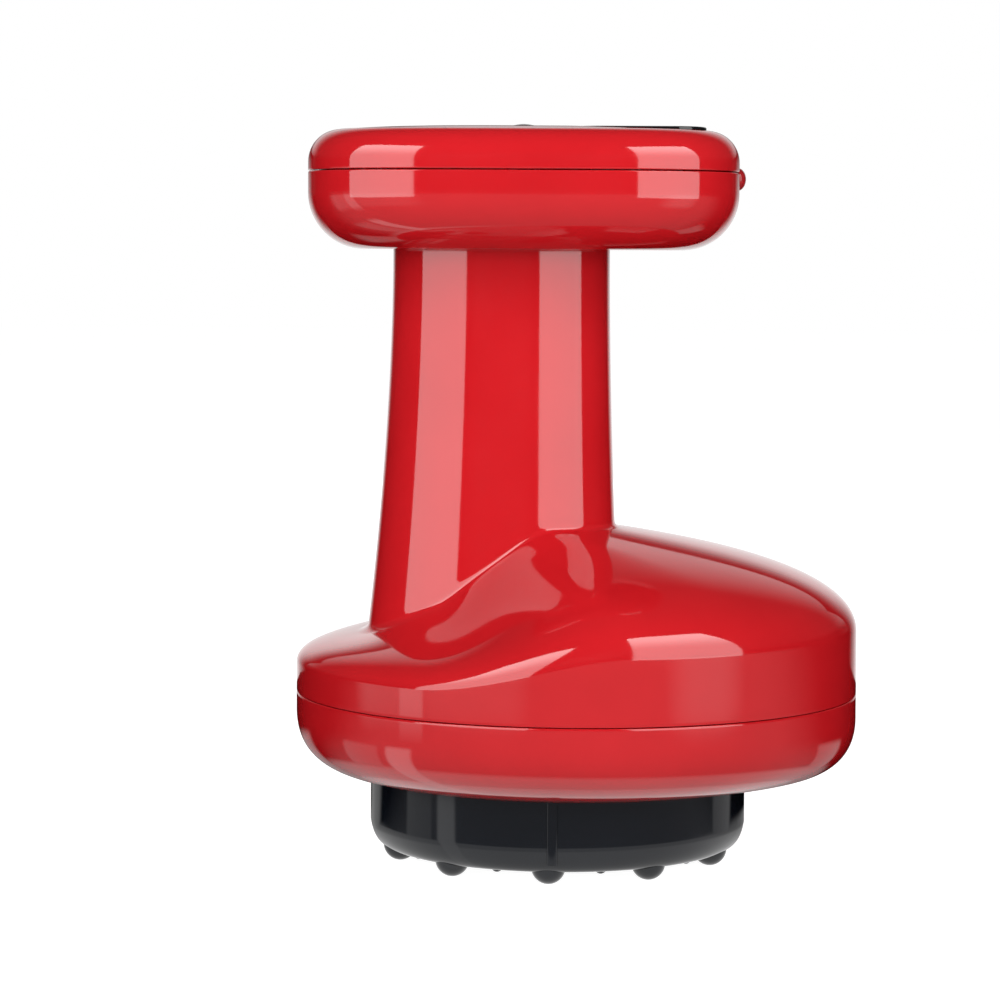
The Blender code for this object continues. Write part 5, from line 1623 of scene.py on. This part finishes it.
@dataclass(frozen=True)
class InnerWorks:
    """The inner pieces, which stay as solids.

    Args:
        finishes: each finish with the solids that have it.
        screws: the start of each kind of screw's name, with how many there are.
    """

    finishes: tuple[tuple[Finish, tuple[str, ...]], ...] = (
        (Finish.CEILING, ("cup_plate",)),
        (Finish.RUBBER, ("cup_gasket", "pump_diaphragm")),
        (Finish.GAUZE, ("suction_filter",)),
        (Finish.LIGHT_LENS, ("light_ring_lens",)),
        (Finish.BOARD, ("light_board", "main_board", "control_board")),
        (Finish.HOLDER, ("pump_cradle", "battery_holder")),
        (Finish.WHITE, ("pump_head", "pump_lid", "display_module")),
        (Finish.STEEL, ("pump_motor", "pump_shaft", "button_switch", "charging_socket", "valve_body",
                        "valve_plunger")),
        (Finish.HOSE, ("suction_hose",)),
        (Finish.CELL, ("battery_cell",)),
        (Finish.RIBBON, ("ribbon_cable",)),
    )
    screws: tuple[tuple[str, int], ...] = (
        ("cup_plate_screw", 3), ("main_board_screw", 4), ("control_board_screw", 4), ("handle_screw", 2),
    )

    def build(self, dresser: Dresser) -> None:
        """Dresses every inner solid."""
        for finish, names in self.finishes:
            dresser.repaint(finish, *names)
        for name, count in self.screws:
            dresser.repaint(Finish.SCREW, *(f"{name}_{number}" for number in range(1, count + 1)))


# Studio


@dataclass(frozen=True)
class Softbox:
    """A lamp behind an upright white screen that faces the object.

    Args:
        name: the lamp's name.
        bearing: its direction from the object, degrees from the camera's side.
        distance: how far away it stands.
        width: width of its screen.
        low: height of the screen's lower edge.
        high: height of its upper edge.
        power: watts.
        mirrored: whether glossy surfaces show it.
        top_gain: how much brighter its top is than its foot.
        climb: start and end of the brighter part, as shares of its height.
    """

    name: str
    bearing: float
    distance: float
    width: float
    low: float
    high: float
    power: float
    mirrored: bool = True
    top_gain: float = 1.0
    climb: tuple[float, float] = (0.3, 0.85)

    def grade(self, lamp: bpy.types.AreaLight) -> None:
        """Makes the lamp's screen brighter towards its top."""
        lamp.use_nodes = True
        graph = Graph(lamp.node_tree)
        split = graph.node("SeparateXYZ", Vector=graph.node("NewGeometry").outputs["Parametric"])
        strength = graph.ramp(split.outputs["Y"], Fade(*self.climb, 1.0, self.top_gain))
        graph.feed(lamp.node_tree.nodes["Emission"].inputs["Strength"], strength)

    def build(self) -> None:
        """Puts the lamp in place."""
        lamp = bpy.data.lights.new(self.name, "AREA")
        lamp.shape = "RECTANGLE"
        lamp.size = self.width
        lamp.size_y = self.high - self.low
        lamp.energy = self.power
        if self.top_gain != 1.0:
            self.grade(lamp)
        item = bpy.data.objects.new(self.name, lamp)
        turn = math.radians(self.bearing)
        middle = (self.low + self.high) / 2
        place = Vector((self.distance * math.sin(turn), -self.distance * math.cos(turn), middle))
        facing = Matrix.Rotation(turn, 4, "Z") @ Matrix.Rotation(math.pi / 2, 4, "X")
        item.matrix_world = Matrix.Translation(place) @ facing
        item.visible_camera = False
        item.visible_glossy = self.mirrored
        bpy.context.scene.collection.objects.link(item)


@dataclass(frozen=True)
class Beam:
    """A painted pale beam of light on the floor, seen only in glossy pieces.

    Args:
        middle: bearing of its middle, degrees from the camera's side.
        half: half of its width in degrees.
        edge: how many more degrees it takes to fade out.
        high: its brightness.
    """

    middle: float
    half: float
    edge: float
    high: float


@dataclass(frozen=True)
class Pool:
    """How bright the floor looks in glossy pieces, by where it is: painted pools and beams of light that it
    gives off.

    The beams start on the curve where the reflections from an upright round wall meet, so that the wall shows
    each as an upright strip.

    Args:
        case_radius: radius of the red wall that shows the case's beams.
        case_beams: its beams.
        case_reach: how the case's beams change with the distance from the middle.
        ring_radius: radius of the black wall that shows the ring's beams.
        ring_beams: its beams.
        ring_reach: how the ring's beams change with the distance from the middle.
        front: the floor in front, by bearing in degrees.
        horizon: how the floor fades far away.
        near: the painted white pool of light round the object.
        under: the brightest part of that painted pool, below the case.
        aside: how the pool changes with the bearing in degrees.
    """

    case_radius: float = 0.0517
    case_beams: tuple[Beam, ...] = (
        Beam(-44.0, 15.0, 22.0, 0.50), Beam(52.0, 5.0, 22.0, 0.75), Beam(-71.0, 5.0, 2.0, 1.2),
        Beam(-85.0, 8.0, 12.0, 0.60),
    )
    case_reach: Fade = Fade(0.18, 0.30, 0.20, 1.0)
    ring_radius: float = 0.0345
    ring_beams: tuple[Beam, ...] = (
        Beam(-73.0, 5.0, 3.0, 1.3), Beam(-94.0, 9.0, 4.0, 0.55), Beam(-150.0, 8.0, 8.0, 0.40),
        Beam(120.0, 9.0, 5.0, 0.50),
    )
    ring_reach: Fade = Fade(0.11, 0.15, 1.0, 0.0)
    front: Fade = Fade(70.0, 110.0, 0.27, 0.0)
    horizon: Fade = Fade(0.9, 1.6, 1.0, 0.2)
    near: Fade = Fade(0.060, 0.072, 0.85, 0.0)
    under: Fade = Fade(0.046, 0.053, 1.15, 0.0)
    aside: Fade = Fade(60.0, 120.0, 1.0, 0.30)

    def bearing(self, graph: Graph, place: Node, start: float = 0.0, back: float = 0.0) -> Socket:
        """The direction of each place on the floor, in degrees from the camera's side.

        Args:
            graph: the floor's nodes.
            place: the node with the place's X and Y.
            start: X of the point that the direction is taken from.
            back: how far that point is towards the camera.

        Returns:
            The output of the direction.
        """
        across = graph.maths("SUBTRACT", place.outputs["X"], start)
        forward = graph.maths("SUBTRACT", -back, place.outputs["Y"])
        return graph.maths("MULTIPLY", graph.maths("ARCTAN2", across, forward), math.degrees(1.0))

    def rays(self, graph: Graph, place: Node, radius: float, beams: Sequence[Beam]) -> Socket:
        """The beams that a round wall shows as upright strips.

        Args:
            graph: the floor's nodes.
            place: the node with the place's X and Y.
            radius: radius of the wall.
            beams: the beams.

        Returns:
            The output of the brightest one's brightness.
        """
        brightest = 0.0
        for beam in beams:
            turn = math.radians(beam.middle / 2)
            start = radius * math.sin(turn) ** 3
            back = radius * math.cos(turn) * (1 + 2 * math.sin(turn) ** 2) / 2
            off = graph.maths("SUBTRACT", self.bearing(graph, place, start, back), beam.middle)
            fade = Fade(beam.half, beam.half + beam.edge, beam.high, 0.0)
            brightest = graph.maths("MAXIMUM", graph.ramp(graph.maths("ABSOLUTE", off), fade), brightest)
        return brightest

    def write(self, graph: Graph) -> Socket:
        """Returns the output of the brightness, for the nodes of the floor."""
        where = graph.node("TexCoord").outputs["Object"]
        place = graph.node("SeparateXYZ", Vector=where)
        length = graph.node("VectorMath", Vector=where)
        length.operation = "LENGTH"
        reach = length.outputs["Value"]
        case = graph.maths("MULTIPLY", self.rays(graph, place, self.case_radius, self.case_beams),
                           graph.ramp(reach, self.case_reach))
        ring = graph.maths("MULTIPLY", self.rays(graph, place, self.ring_radius, self.ring_beams),
                           graph.ramp(reach, self.ring_reach))
        sideways = graph.maths("ABSOLUTE", self.bearing(graph, place))
        far = graph.maths("MULTIPLY", graph.maths("MAXIMUM", case, graph.ramp(sideways, self.front)),
                          graph.ramp(reach, self.horizon))
        # painted pool of light round the object, brightest under the case
        round_it = graph.maths("MAXIMUM", graph.ramp(reach, self.near), graph.ramp(reach, self.under))
        near = graph.maths("MULTIPLY", graph.ramp(sideways, self.aside), round_it)
        return graph.maths("MAXIMUM", graph.maths("MAXIMUM", far, ring), near)


@dataclass(frozen=True)
class Studio:
    """Floor, backdrop, lamps and camera.

    Args:
        lens: the camera's lens, millimetres.
        sensor: width of its sensor, millimetres.
        eye: where it stands.
        roll: how far it leans to one side.
        pitch: how far it looks down.
        shift: how far its picture is shifted up, as a share of the width.
        near_clip: the nearest that it sees, metres.
        floor_size: size of the floor.
        floor_bounce: how much light the floor throws back at the object.
        floor_shade: how much of the object's shadow the camera sees.
        floor_glow: how white the camera sees the floor without light.
        card_width: width of the card behind the object.
        card_back: how far behind the object it stands.
        card_top: its height.
        card_side_fade: where it starts to fade sideways, as a share of half its width.
        card_top_fade: where it starts to fade upwards, as a share of its height.
        sky_behind: brightness of the surroundings from the front to the back.
        sky_above: how much of it is left, from the horizon up.
        pool: the painted pool of light that the floor shows in reflections.
        lamps: the lamps.
    """

    lens: float = 117.594
    sensor: float = 36.0
    eye: Triple = (-0.01447, -0.603, 0.112)
    roll: float = math.radians(0.2855)
    pitch: float = math.radians(2.977)
    shift: float = -0.08
    near_clip: float = 0.01
    floor_size: float = 8.0
    floor_bounce: float = 0.45
    floor_shade: float = 0.42
    floor_glow: float = 0.97
    card_width: float = 0.44
    card_back: float = 0.24
    card_top: float = 0.16
    card_side_fade: float = 0.45
    card_top_fade: float = 0.6
    sky_behind: Fade = Fade(0.66, 1.02, 0.04, 0.90)
    sky_above: Fade = Fade(0.06, 0.20, 0.12, 1.0)
    pool: Pool = Pool()
    lamps: tuple[Softbox, ...] = (
        Softbox("softbox_left", -43.0, 0.60, 0.51, 0.006, 0.80, 2.95, top_gain=2.0),
        Softbox("softbox_right", 43.0, 0.60, 0.51, 0.006, 0.80, 2.95, top_gain=2.0),
        Softbox("front_fill", 0.0, 1.00, 0.50, 0.01, 0.45, 3.1, mirrored=False),
        Softbox("back_fill", 180.0, 1.00, 0.90, 0.01, 0.45, 3.0, mirrored=False),
    )

    def camera(self) -> None:
        """Puts the camera where the photograph was taken from."""
        data = bpy.data.cameras.new("camera")
        data.lens = self.lens
        data.sensor_width = self.sensor
        data.shift_y = self.shift
        data.clip_start = self.near_clip
        item = bpy.data.objects.new("camera", data)
        item.location = self.eye
        item.rotation_euler = (math.pi / 2 - self.pitch, -self.roll, 0.0)
        bpy.context.scene.collection.objects.link(item)
        bpy.context.scene.camera = item

    def floor(self) -> None:
        """Lays the floor.

        The camera sees it white but for the object's shadow, and clear from below. Glossy pieces see the
        painted pool of light instead.
        """
        half = self.floor_size / 2
        plan = ((-half, -half), (half, -half), (half, half), (-half, half))
        item = sheet("floor", [(x, y, 0.0) for x, y in plan])
        material, graph = blank_material("floor white")
        path = graph.node("LightPath").outputs
        bounce = graph.run("BsdfDiffuse", grey(self.floor_bounce))
        # painted light: for glossy rays the floor glows with the painted pool and beams
        mirrored = graph.run("Emission", WHITE, self.pool.write(graph))
        unseen = graph.run("MixShader", path["Is Glossy Ray"], bounce, mirrored)
        shade = graph.run("BsdfDiffuse", grey(self.floor_shade))
        seen = graph.run("AddShader", shade, graph.run("Emission", WHITE, self.floor_glow))
        top = graph.run("MixShader", path["Is Camera Ray"], unseen, seen)
        below = graph.node("NewGeometry").outputs["Backfacing"]
        graph.node("OutputMaterial", Surface=graph.run("MixShader", below, top, graph.run("BsdfTransparent")))
        item.data.materials.append(material)

    def card(self) -> None:
        """Stands a glowing white card behind the object, a painted reflection seen only in glossy pieces,
        that fades at its edges.
        """
        half, back, top = self.card_width / 2, self.card_back, self.card_top
        item = sheet("card", ((-half, back, 0.0), (half, back, 0.0), (half, back, top), (-half, back, top)))
        material, graph = blank_material("card white")
        split = graph.node("SeparateXYZ", Vector=graph.node("TexCoord").outputs["Object"]).outputs
        sideways = graph.ramp(graph.maths("ABSOLUTE", split["X"]),
                              Fade(half * self.card_side_fade, half, 1.0, 0.0))
        upward = graph.ramp(split["Z"], Fade(top * self.card_top_fade, top, 1.0, 0.0))
        # painted reflection: the card gives off light itself, fading at its edges
        glow = graph.run("Emission", WHITE, graph.maths("MULTIPLY", sideways, upward))
        graph.node("OutputMaterial", Surface=glow)
        item.data.materials.append(material)
        item.visible_camera = False
        item.visible_diffuse = False
        item.visible_shadow = False

    def world(self) -> None:
        """Makes the surroundings: white to the camera, and elsewhere pale behind and dim in front."""
        world = bpy.data.worlds.new("studio")
        bpy.context.scene.world = world
        world.use_nodes = True
        world.node_tree.nodes.clear()
        graph = Graph(world.node_tree)
        split = graph.node("SeparateXYZ", Vector=graph.node("TexCoord").outputs["Generated"]).outputs
        around = graph.maths("MULTIPLY", graph.ramp(split["Y"], self.sky_behind),
                             graph.ramp(split["Z"], self.sky_above))
        strength = graph.maths("MAXIMUM", around, graph.node("LightPath").outputs["Is Camera Ray"])
        graph.node("OutputWorld", Surface=graph.run("Background", WHITE, strength))

    def build(self) -> None:
        """Sets up the whole studio."""
        self.camera()
        self.floor()
        self.card()
        self.world()
        for lamp in self.lamps:
            lamp.build()
        bpy.context.scene.view_settings.view_transform = "Standard"


def main() -> None:
    """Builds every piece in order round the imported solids."""
    logging.basicConfig(level=logging.INFO, format="%(name)s: %(message)s")
    for item in list(bpy.data.objects):
        bpy.data.objects.remove(item, do_unlink=True)
    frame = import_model()
    Studio().build()
    dresser = Dresser(Paintbox(), frame["nodes"])
    panel = Panel()
    BaseCase().build(dresser)
    Head().build(dresser, panel)
    panel.build(dresser)
    PowerButton().build(dresser)
    Indicator().build(dresser)
    MassageRing().build(dresser)
    CrossScrew().build(dresser)
    CoilSpring().build(dresser)
    InnerWorks().build(dresser)


if __name__ == "__main__":
    main()
